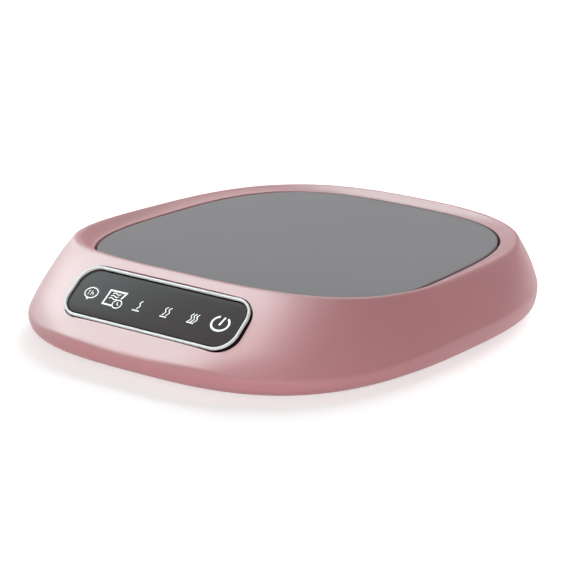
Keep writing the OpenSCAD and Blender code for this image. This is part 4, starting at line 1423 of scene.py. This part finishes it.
    def build(self) -> list:
        """Makes the shell and cuts the panel's pocket and window and the inlet's opening.

        Returns:
            The finished shell, on its body.
        """
        f, plane = self.form, self.form.panel
        shell = tube("shell", [row[::-1] for row in self.outer_rows() + self.inner_rows()], wrap=True)
        pocket = replace(f.bezel.grown(self.pocket_gap), high=self.pocket_top)
        frame_block, *cuts = [
            tube(name, plane.lay(bar.rows(), f.panel_x)) for name, bar in (
                ("frame_block", self.panel_frame), ("pocket", pocket), ("window", self.window))]
        cuts += [self.inlet_cut(), tube("board_room", plane.lay(self.board_room.rows(3)))]
        cuts += [tube("panel_pilot", plane.lay(round_rows((x, 0.0, 0.0), self.panel_pilot, 24)))
                 for x in (-f.panel_screw_x, f.panel_screw_x)]
        solid, holes = self.bosses()
        combine(shell, [frame_block, *solid], Solver.JOIN)
        combine(shell, [*cuts, *holes], Solver.CUT)
        return [stand_in(soften(shell), SHELL_PINK, "shell_plastic", "upper_housing")]


@dataclass
class Base:
    """The base cover with its rubber feet and screws."""

    form: BodyForm
    screws: ScrewRecipe
    foot_inset: float = 23.0
    foot_r: float = 5.0
    foot_top: float = 2.1
    screw_z: float = 1.6
    feet: ClassVar[dict] = {"foot_front_left": -133.0, "foot_front_right": -47.0,
                            "foot_rear_left": 133.0, "foot_rear_right": 47.0}

    def foot(self, node: str, angle: float) -> Object:
        """Makes one foot, a turned pad with a hollow in its sole.

        Args:
            node: the node that it stands for.
            angle: where it stands, seen from the middle.

        Returns:
            The foot, on its body.
        """
        r, top = self.foot_r, self.foot_top
        profile = [(0.3, 0.25), (r * 0.5, 0.25), (r * 0.58, 0.22), (r * 0.66, 0.04), (r * 0.7, 0.0),
                   (r - 0.5, 0.0), (r - 0.22, 0.06), (r - 0.06, 0.2), (r, 0.42), (r, top - 0.15),
                   (r - 0.15, top), (0.3, top)]
        x, y = self.form.inside_at(self.foot_inset, angle)
        pad = soften(tube(node + "_pad", round_rows((x, y, 0.0), profile, 72)), 50.0)
        return stand_in(pad, FOOT_RUBBER, "foot_rubber", node)

    def build(self) -> list:
        """Makes the cover, the feet and the screws.

        Returns:
            The pieces, on their body.
        """
        f = self.form
        cover = eased_copy("base_cover", SHELL_PINK, "shell_plastic", 0.22)
        spots = [(*f.inside_at(f.boss_inset, angle), self.screw_z) for angle in f.boss_angles]
        screws = self.screws.drive("cover_screws", "base_screws", spots, {"Tilt": (math.pi, 0.0, 0.0)})
        return [cover, *(self.foot(node, angle) for node, angle in self.feet.items()), screws]


@dataclass
class Suspension:
    """The four springs that lift the heating plate."""

    form: BodyForm
    coils: CoilRecipe
    foot_z: float = 3.3
    top_z: float = 11.7
    radius: float = 4.28
    wire: float = 0.3
    turns: float = 5.0
    travel: float = 1.0
    places: ClassVar[dict] = {"return_spring_front_left": (-1, -1), "return_spring_front_right": (1, -1),
                              "return_spring_rear_left": (-1, 1), "return_spring_rear_right": (1, 1)}

    def build(self) -> list:
        """Makes the springs, each with a mesh of its own.

        Returns:
            The springs, on the body.
        """
        made, tall, offset = [], self.top_z - self.foot_z, self.form.post_offset
        for node, (across, along) in self.places.items():
            spot = (across * offset, self.form.plate_y + along * offset, self.foot_z)
            coil = self.coils.wind(node, spot, SPRING_WIRE, "spring_steel", {
                "Mean Radius": self.radius * MM, "Wire Radius": self.wire * MM, "Height": tall * MM,
                "Turns": self.turns})
            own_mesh(coil)
            made.append(coil)
        return made


@dataclass
class HeatingPlate:
    """The glass plate with its stack of spreader, heater and carrier below."""

    form: BodyForm
    screws: ScrewRecipe
    glass_t: float = 2.8
    edge_round: float = 0.45
    foot_chamfer: float = 0.2
    carrier_z: float = 11.7
    clamp_reach: float = 20.0
    clamp_sink: float = 1.2
    strap_reach: float = 16.6
    strap_out: float = 1.13

    def fixings(self) -> list:
        """Makes the clamp screws and the strap's screws, both put in from below.

        Returns:
            Two objects, one for each kind.
        """
        reach, y, down = self.clamp_reach, self.form.plate_y, {"Tilt": (math.pi, 0.0, 0.0)}
        clamp = [(sx * reach, y + sy * reach, self.carrier_z - self.clamp_sink)
                 for sx in (-1, 1) for sy in (-1, 1)]
        strap = [(side * self.strap_reach, y, self.carrier_z - self.strap_out) for side in (-1, 1)]
        return [self.screws.drive("clamp_screws", "carrier_screws", clamp,
                                  {"Length": 0.004, "Thread Turns": 6.0, **down}),
                self.screws.drive("strap_fixings", "strap_screws", strap, {
                    **self.screws.small, "Head Height": 0.00063, "Length": 0.0015, "Thread Turns": 4.0,
                    **down})]

    def glass(self) -> Object:
        """Makes the glass with its ground edge.

        Returns:
            The glass, on its body.
        """
        edge, r, top, cut = self.form.glass, self.edge_round, self.form.plate_z, self.foot_chamfer
        rows = [edge.grown(-cut).level(top - self.glass_t).ring(),
                edge.level(top - self.glass_t + cut).ring()]
        for a in np.radians(np.linspace(0.0, 90.0, 7)):
            rows.append(edge.grown(-r * (1 - math.cos(a))).level(top - r * (1 - math.sin(a))).ring())
        rows += [edge.grown(-r - step).level(top).ring() for step in (0.3, 1.0)]
        return stand_in(soften(tube("glass", rows), 40.0), PLATE_GLASS, "plate_glass", "glass_plate")

    def build(self) -> list:
        """Makes the glass and everything that sinks with it.

        Returns:
            The pieces, on the plate's body.
        """
        stack = eased_copies(
            ("plate_adhesive", ADHESIVE, "adhesive_film", 0.05),
            ("heat_spreader", ALUMINIUM, "spreader_aluminium", 0.2),
            ("heating_element", MICA, "heater_mica", 0.06),
            ("insulation_pad", FELT, "insulation_felt", 0.25),
            ("plate_carrier", CARRIER_NYLON, "carrier_plastic", 0.2),
            ("thermistor", EPOXY_BEAD, "chip_black", 0.45),
            ("thermal_cutout", CERAMIC, "nylon_white", 0.25),
            ("sensor_strap", STRAP_METAL, "strap_steel", 0.1))
        return [self.glass(), *stack, *self.fixings()]


class Symbol(Enum):
    """The signs on the touch panel, from left to right."""

    ONE_HOUR = 0
    STEAM_TIMER = 1
    LOW = 2
    MEDIUM = 3
    HIGH = 4
    POWER = 5


@dataclass
class TouchPanel:
    """The bright bezel, the smoked lens, the printed signs and the panel's electronics."""

    form: BodyForm
    screws: ScrewRecipe
    coils: CoilRecipe
    rim: float = 0.72
    # below this height out of the panel the bezel is painted dark: painted shade of the gap round it
    plated_to: float = -0.2
    lens: Bar = Bar(57.3, 14.3, 5.05, -1.9, -0.1)
    ink: float = 0.02
    guide_back: float = -4.2
    keys_x: tuple = (-13.275, 22.125)
    keys_y: float = -0.5
    key_r: float = 2.4
    key_wire: float = 0.25
    screw_out: float = -6.3

    def behind(self) -> list:
        """Makes the light guide, lamps, board, chip, cable, key springs and screws.

        Returns:
            The pieces, on their body.
        """
        plane, tilt = self.form.panel, math.radians(self.form.panel.tilt)
        made = eased_copies(
            ("light_guide", LIGHT_GUIDE, "nylon_white", 0.15),
            ("indicator_leds", LED_RESIN, "led_resin", 0.1),
            ("panel_board", BOARD_GREEN, "board_green", 0.1),
            ("touch_chip", CHIP_EPOXY, "chip_black", 0.12),
            ("panel_socket", NYLON, "nylon_white", 0.2),
            ("panel_ribbon", RIBBON, "ribbon_film", 0.12),
            ("ribbon_socket", NYLON, "nylon_white", 0.2))
        for x, node in zip(self.keys_x, ("touch_spring_mode", "touch_spring_power")):
            spot = plane.place(np.array([x, self.keys_y, self.guide_back]))
            made.append(self.coils.wind(node, spot, COPPER, "copper_spring", {
                "Mean Radius": self.key_r * MM, "Wire Radius": self.key_wire * MM,
                "Height": (self.form.bezel.low - self.guide_back) * MM, "Turns": 3.0,
                "Tilt": (tilt, 0.0, 0.0)}))
        spots = [plane.place(np.array([side * self.form.panel_screw_x, 0.0, self.screw_out]))
                 for side in (-1, 1)]
        return [*made, self.screws.drive("panel_fixings", "panel_board_screws", spots, {
            **self.screws.small, "Length": 0.0027, "Thread Turns": 7.0,
            "Tilt": (tilt + math.pi, 0.0, 0.0)})]

    def build(self) -> list:
        """Makes everything in and behind the panel."""
        return [self.bezel(), self.glazing(), self.print_signs(), *self.behind()]

    def bezel(self) -> Object:
        """Makes the bezel, a rounded section swept round the panel.

        Returns:
            The bezel, on its body.
        """
        bar, plane = self.form.bezel, self.form.panel
        side, top = self.rim, bar.high
        keys = [(0.0, -0.3), (0.0, top - 0.2), (0.07, top - 0.06), (0.2, top), (side - 0.2, top),
                (side - 0.06, top - 0.1), (side, 0.0)]
        profile = [(0.0, bar.low), *map(tuple, self.curl(keys, 4)), (side, bar.low)]
        rows = plane.lay(bar_rows(bar.w, bar.h, bar.r, profile, 24), self.form.panel_x)
        # the bezel's faces below this level are painted dark: painted shade of the gap round the bezel
        level = plane.place(np.array([0.0, 0.0, self.plated_to])) @ plane.normal
        trim_with_painted_shade = replace(CHROME, out=tuple(plane.normal), level_mm=float(level))
        ring = soften(tube("bezel", rows, wrap=True), 50.0)
        return stand_in(ring, trim_with_painted_shade, "chrome_trim", "panel_bezel")

    def glazing(self) -> Object:
        """Makes the lens with a softened top edge.

        Returns:
            The lens, on its body.
        """
        bar, top = self.lens, self.lens.high
        profile = [(0.0, bar.low), (0.0, top - 0.15), (0.05, top - 0.04), (0.15, top)]
        rows = self.form.panel.lay(bar_rows(bar.w, bar.h, bar.r, profile), self.form.panel_x)
        return stand_in(soften(tube("lens", rows), 50.0), LENS, "lens_black", "panel_lens")

    def stroke(self, line: list, width: float, closed: bool = False) -> tuple:
        """A printed line of even width.

        Args:
            line: rows of x and y along its middle.
            width: its width.
            closed: whether its end meets its start.

        Returns:
            Points and faces in the panel's own axes.
        """
        p = np.asarray(line, float)
        ahead = (np.roll(p, -1, 0) - p) if closed else np.diff(p, axis=0, append=p[-1:])
        if not closed:
            ahead[-1] = ahead[-2]
        unit = ahead / np.linalg.norm(ahead, axis=1)[:, None]
        before = np.roll(unit, 1, 0) if closed else np.vstack([unit[:1], unit[:-1]])
        normal = np.stack([-(unit + before)[:, 1], (unit + before)[:, 0]], 1)
        normal /= np.linalg.norm(normal, axis=1)[:, None]
        side = np.stack([-unit[:, 1], unit[:, 0]], 1)
        reach = width / 2 / np.clip((normal * side).sum(1), 0.5, 1.0)
        left, right = p + normal * reach[:, None], p - normal * reach[:, None]
        n, low, high = len(p), self.lens.high - 0.01, self.lens.high + self.ink
        points = np.vstack([np.column_stack([s, np.full(n, z)])
                            for s, z in ((left, low), (right, low), (right, high), (left, high))])
        faces = []
        for i in range(n if closed else n - 1):
            j = (i + 1) % n
            for a, b in ((0, 1), (1, 2), (2, 3), (3, 0)):
                faces.append((a * n + j, b * n + j, b * n + i, a * n + i))
        if not closed:
            faces += [(0, n, 2 * n, 3 * n), (4 * n - 1, 3 * n - 1, 2 * n - 1, n - 1)]
        return points, faces

    @staticmethod
    def oval(x: float, y: float, rx: float, ry: float, start: float = 0.0,
             end: float = 360.0, steps: int = 48) -> np.ndarray:
        """Points on an oval, or on a part of one between two angles; a full one isn't repeated."""
        a = np.radians(np.linspace(start, end, steps, endpoint=end - start < 360.0))
        return np.stack([x + rx * np.cos(a), y + ry * np.sin(a)], 1)

    @staticmethod
    def curl(points: list, steps: int = 6) -> np.ndarray:
        """A smooth line through a few points, in rows of x and y."""
        return np.array([row[0] for row in between([np.array([p], float) for p in points], steps)])

    def waves(self, x: float, y: float, shifts: tuple) -> list:
        """Steam waves side by side, as lines with their widths."""
        wave = [(0.35, 1.7), (-0.28, 0.95), (0.25, 0.1), (-0.45, -0.95)]
        return [(self.curl([(x + s + px, y + py) for px, py in wave]), 0.29) for s in shifts]

    def signs(self) -> dict:
        """The printed lines of every sign.

        Returns:
            For each sign a list of lines with their width, and True where one is closed.
        """
        steam = [(0.0, 0.0), (0.9, 0.3), (1.9, -0.14), (2.8, 0.18)]
        return {
            Symbol.ONE_HOUR: [
                (self.oval(-21.85, -0.25, 2.13, 1.66), 0.32, True),
                ([(-22.55, -2.0), (-22.1, -2.42), (-21.75, -1.95)], 0.24),
                ([(-22.95, 0.12), (-22.62, 0.4), (-22.75, -0.95)], 0.19),
                ([(-21.7, 0.5), (-21.9, -0.95)], 0.19),
                (self.curl([(-21.85, -0.5), (-21.4, -0.15), (-21.05, -0.4), (-21.15, -0.95)]), 0.19)],
            Symbol.STEAM_TIMER: [
                ([(-13.1, -2.62), (-16.45, -2.59), (-16.26, 1.93), (-10.75, 1.93), (-11.5, -0.15)], 0.5),
                *[(self.curl([(x + px, y + py) for px, py in steam]), 0.27)
                  for x, y in ((-15.05, 1.05), (-15.3, 0.22), (-15.5, -0.58))],
                (self.oval(-11.79, -1.85, 1.46, 1.29), 0.31, True),
                ([(-11.88, -1.1), (-11.84, -1.9), (-11.2, -2.12)], 0.26)],
            Symbol.LOW: [*self.waves(-4.6, -0.85, (0.0,)), ([(-6.21, -2.35), (-3.81, -2.35)], 0.36)],
            Symbol.MEDIUM: [*self.waves(4.25, -0.8, (-0.1, 1.15)), ([(3.23, -2.2), (5.46, -2.2)], 0.34)],
            Symbol.HIGH: [*self.waves(13.0, -0.8, (-0.1, 0.85, 1.8)),
                          ([(12.19, -2.0), (14.48, -2.05)], 0.34)],
            Symbol.POWER: [(self.oval(22.42, -0.19, 2.73, 2.2, -247.0, 55.0), 0.6),
                           ([(23.02, 1.9), (22.3, -0.71)], 0.56)],
        }

    def print_signs(self) -> Object:
        """Makes all signs as one thin layer of ink on the lens.

        Returns:
            The ink, on its body.
        """
        points, faces = [], []
        for stroke in (self.stroke(*line) for lines in self.signs().values() for line in lines):
            start = sum(len(x) for x in points)
            points.append(self.form.panel.place(stroke[0]))
            faces += [tuple(start + i for i in face) for face in stroke[1]]
        ink = mesh_object("symbols", np.concatenate(points), faces)
        # the ink's finish glows a little: painted light on the signs
        dress(ink, SYMBOL_INK.material())
        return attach(ink, "body")


@dataclass
class MainBoard:
    """The main board with its parts, sockets, screws and the leads up to the heater."""

    screws: ScrewRecipe
    leads: LeadRecipe
    centre_y: float = 29.3
    hole_reach: tuple = (22.02, 15.6)
    screw_z: float = 6.8
    socket_z: float = 8.9
    heater_x: float = -16.0
    heater_y: float = 21.3
    heater_pitch: float = 4.0
    heater_z: float = 13.9
    heater_r: float = 0.65
    heater_run: tuple = ((0.0, 0.0), (0.0, 0.2), (0.5, 0.5), (0.0, 0.8), (0.0, 1.0))
    sensor_x: float = -8.0
    sensor_pitch: float = 1.2
    sensor_r: float = 0.3
    sensor_run: tuple = ((9.6, 12.8), (10.0, 12.8), (10.85, 12.05), (12.0, 10.4), (12.45, 9.5),
                         (12.5, 8.9))
    travel: float = 1.0

    def rising(self, node: str, paths: list, finish: Finish, slot: str, radius: float) -> Object:
        """Makes leads with a mesh of their own.

        Args:
            node: the node that they stand for.
            paths: their points.
            finish: their insulation.
            slot: the record's material slot.
            radius: their radius.

        Returns:
            The leads, on the body.
        """
        made, top = self.leads.lay(node, paths, finish, slot, radius), max(p[2] for p in paths[0])
        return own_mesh(made)

    def build(self) -> list:
        """Makes the board, its parts, its screws and its leads.

        Returns:
            The pieces, on their body.
        """
        across, along = self.hole_reach
        spots = [(sx * across, self.centre_y + sy * along, self.screw_z)
                 for sx in (-1, 1) for sy in (-1, 1)]
        low, rise = self.socket_z, self.heater_z - self.socket_z
        heater = [[(self.heater_x + side * self.heater_pitch / 2, self.heater_y + sway,
                    low + rise * part) for sway, part in self.heater_run] for side in (-1, 1)]
        sensor = [[(self.sensor_x + side * self.sensor_pitch / 2, y, z) for y, z in self.sensor_run]
                  for side in (-1, 1)]
        return [*eased_copies(
                    ("main_board", BOARD_GREEN, "board_green", 0.1),
                    ("control_chip", CHIP_EPOXY, "chip_black", 0.14),
                    ("heater_mosfet", CHIP_EPOXY, "chip_black", 0.2),
                    ("inductor", FERRITE, "chip_black", 0.25),
                    ("capacitor", CAN_METAL, "capacitor_can", 0.3),
                    ("buzzer", BLACK_PLASTIC, "chip_black", 0.25),
                    ("heater_socket", NYLON, "nylon_white", 0.25),
                    ("sensor_socket", NYLON, "nylon_white", 0.25)),
                self.screws.drive("board_fixings", "board_screws", spots, {
                    **self.screws.small, "Length": 0.0034, "Thread Turns": 8.0}),
                self.rising("heater_leads", heater, HEATER_SILICONE, "heater_wire", self.heater_r),
                self.rising("sensor_leads", sensor, SENSOR_SLEEVE, "sensor_wire", self.sensor_r)]


@dataclass
class PlateSwitch:
    """The switch below the plate, with its plunger."""

    x: float = 24.0
    y: float = -6.7
    plunger_r: float = 1.2
    foot: float = 7.6
    top: float = 11.0
    soft: float = 0.15
    dome_h: float = 0.35

    def build(self) -> list:
        """Makes the switch body and the plunger with its domed head.

        Returns:
            The two pieces, each on its body.
        """
        body, r = eased_copy("switch_body", BLACK_PLASTIC, "switch_plastic", 0.25), self.plunger_r
        profile = [(r - self.soft, self.foot), (r, self.foot + self.soft), (r, self.top - self.dome_h),
                   *dome(r, self.top, self.dome_h), (0.1, self.top)]
        pin = soften(tube("switch_pin", round_rows((self.x, self.y, 0.0), profile, 40)), 40.0)
        return [body, stand_in(pin, PLUNGER_RED, "plunger_red", "switch_plunger")]


@dataclass
class PowerInlet:
    """The barrel inlet in the back, with its pin, terminals and two leads."""

    leads: LeadRecipe
    pin_r: float = 1.0
    pin_back: float = 58.7
    pin_front: float = 67.7
    centre_z: float = 6.7
    tab_x: float = 2.6
    lead_r: float = 0.65
    lead_run: tuple = ((53.6, 6.7), (52.8, 6.7), (50.85, 7.05), (48.1, 7.4), (47.3, 7.4))

    def pin(self) -> Object:
        """Makes the centre pin with its rounded nose.

        Returns:
            The pin, on its body.
        """
        r, long = self.pin_r, self.pin_front - self.pin_back
        profile = [(r, 0.0), (r, long - r * 0.8), *dome(r, long, r * 0.8)]
        rows = [np.column_stack([row[:, 0], self.pin_back + row[:, 2], self.centre_z - row[:, 1]])
                for row in round_rows((0.0, 0.0, 0.0), profile, 40)]
        return stand_in(soften(tube("centre_pin", rows), 40.0), NICKEL, "contact_metal", "inlet_pin")

    def build(self) -> list:
        """Makes the inlet's pieces.

        Returns:
            The pieces, on their body.
        """
        made = [eased_copy("inlet_body", BLACK_PLASTIC, "chip_black", 0.3, 3), self.pin(), *eased_copies(
            ("inlet_terminals", NICKEL, "contact_metal", 0.08),
            ("inlet_socket", NYLON, "nylon_white", 0.25))]
        for node, x, finish, slot in (("lead_positive", self.tab_x, HEATER_SILICONE, "heater_wire"),
                                      ("lead_negative", -self.tab_x, BLACK_WIRE, "black_wire")):
            run = [(x, y, z) for y, z in self.lead_run]
            made.append(self.leads.lay(node, [run], finish, slot, self.lead_r))
        return made


@dataclass(frozen=True)
class Softbox:
    """A rectangular lamp that looks at the middle of the object.

    radiance is its brightness, half_angle half the angle that it fills across, and tall its height
    as a share of its width. matte and glossy say whether it lights faces and shows in their gloss.
    """

    name: str
    direction: tuple
    half_angle: float
    radiance: float
    distance: float = 1.2
    tall: float = 1.0
    matte: bool = True
    glossy: bool = True
    tint: tuple = (1.0, 1.0, 1.0)

    def build(self, aim: Vector) -> None:
        """Makes the lamp.

        Args:
            aim: the point that it looks at.
        """
        side = 2 * self.distance * math.tan(math.radians(self.half_angle))
        light = bpy.data.lights.new(self.name, "AREA")
        light.shape, light.size, light.size_y = "RECTANGLE", side, side * self.tall
        light.energy, light.color = self.radiance * math.pi * side * side * self.tall, self.tint
        lamp, away = linked(self.name, light), Vector(self.direction).normalized()
        lamp.location = aim + away * self.distance
        lamp.rotation_euler = (-away).to_track_quat("-Z", "Y").to_euler()
        lamp.visible_diffuse, lamp.visible_glossy = self.matte, self.glossy


@dataclass
class Studio:
    """The floor, the soft lamps, the sky and the camera."""

    aim_mm: tuple = (-5.726, 7.064, 5.617)
    azimuth: float = 37.53
    elevation: float = 17.22
    distance_mm: float = 694.2
    lens_mm: float = 152.86
    clip: tuple = (0.05, 30.0)
    floor_size: float = 12.0
    floor_lift: float = 0.58
    floor_color: tuple = (0.92, 0.92, 0.92)
    floor_roughness: float = 0.9
    sky_tones: tuple = ((0.0, 0.45), (0.04, 0.3), (0.09, 0.06), (1.0, 0.06))
    lamp_aim: tuple = (0.0, 0.0, 0.012)
    lamps: tuple = (
        Softbox("wall", (-0.62, -0.23, 0.75), 31.5, 8.4, tall=1.05, matte=False,
                tint=(0.78, 1.0, 0.985)),
        Softbox("wall_low", (-0.95, 0.25, 0.21), 20.0, 3.0, tall=0.5, matte=False),
        Softbox("top", (0.12, -0.42, 0.90), 15.0, 3.0, matte=False),
        Softbox("left", (-0.58, 0.58, 0.57), 20.0, 1.4),
        Softbox("back", (-0.15, 0.86, 0.49), 24.0, 4.4, glossy=False),
        Softbox("front_right", (0.60, -0.79, 0.16), 26.0, 4.4, tall=0.4, glossy=False),
        Softbox("front_left", (-0.45, -0.89, 0.05), 26.0, 2.2, tall=0.4, glossy=False),
    )

    def floor(self) -> None:
        """Makes the pale floor, which keeps the object's shadow."""
        half = self.floor_size / 2 / MM
        plane = mesh_object("floor", [(-half, -half, 0), (half, -half, 0), (half, half, 0),
                                      (-half, half, 0)], [(0, 1, 2, 3)])
        made = bpy.data.materials.new("floor_white")
        made.use_nodes = True
        wires = Wiring(made.node_tree)
        path = wires.node("ShaderNodeLightPath", {}).outputs
        seen = wires.maths("ADD", path["Is Camera Ray"], path["Is Glossy Ray"])
        seen = wires.maths("MINIMUM", wires.maths("ADD", seen, path["Is Transmission Ray"]), 1.0)
        wires.feed(made.node_tree.nodes["Principled BSDF"], {
            "Base Color": (*self.floor_color, 1.0), "Roughness": self.floor_roughness,
            "Specular IOR Level": 0.0, "Emission Color": (1.0, 1.0, 1.0, 1.0),
            "Emission Strength": wires.maths("MULTIPLY", seen, self.floor_lift)})
        dress(plane, made)

    def sky(self) -> None:
        """Makes the world: pale at the horizon and dimmer above."""
        world = bpy.context.scene.world = bpy.data.worlds.new("studio_sky")
        world.use_nodes = True
        wires = Wiring(world.node_tree)
        where = wires.node("ShaderNodeTexCoord", {}).outputs["Generated"]
        parts = wires.node("ShaderNodeSeparateXYZ", {0: where})
        ramp = wires.node("ShaderNodeValToRGB", {"Fac": parts.outputs["Z"]})
        stops = ramp.color_ramp.elements
        for position, _ in self.sky_tones[1:-1]:
            stops.new(position)
        for stop, (_, tone) in zip(stops, self.sky_tones):
            stop.color = (tone, tone, tone, 1)
        wires.feed(world.node_tree.nodes["Background"], {"Color": ramp.outputs["Color"]})

    def camera(self) -> None:
        """Makes the camera and gives it to the scene."""
        lens = bpy.data.cameras.new("camera")
        lens.lens, lens.sensor_width = self.lens_mm, 36.0
        lens.clip_start, lens.clip_end = self.clip
        eye = bpy.context.scene.camera = linked("camera", lens)
        az, el = math.radians(self.azimuth), math.radians(self.elevation)
        back = Vector((math.sin(az) * math.cos(el), -math.cos(az) * math.cos(el), math.sin(el)))
        eye.location = (Vector(self.aim_mm) + back * self.distance_mm) * MM
        eye.rotation_euler = (-back).to_track_quat("-Z", "Y").to_euler()

    def build(self) -> None:
        """Makes everything round the object."""
        self.floor()
        self.sky()
        for lamp in self.lamps:
            lamp.build(Vector(self.lamp_aim))
        self.camera()
        bpy.context.scene.view_settings.view_transform = "Standard"


def main() -> None:
    """Builds the sub-assemblies in order and reports each piece."""
    logging.basicConfig(level=logging.INFO, format="%(message)s")
    form, screws, coils, leads = BodyForm(), ScrewRecipe(), CoilRecipe(), LeadRecipe()
    for assembly in (Housing(form), Base(form, screws), Suspension(form, coils),
                     HeatingPlate(form, screws), TouchPanel(form, screws, coils),
                     MainBoard(screws, leads), PlateSwitch(), PowerInlet(leads)):
        for piece in assembly.build():
            log.info("%s: %d faces", piece.name, len(piece.data.polygons))
    Studio().build()


if __name__ == "__main__":
    main()
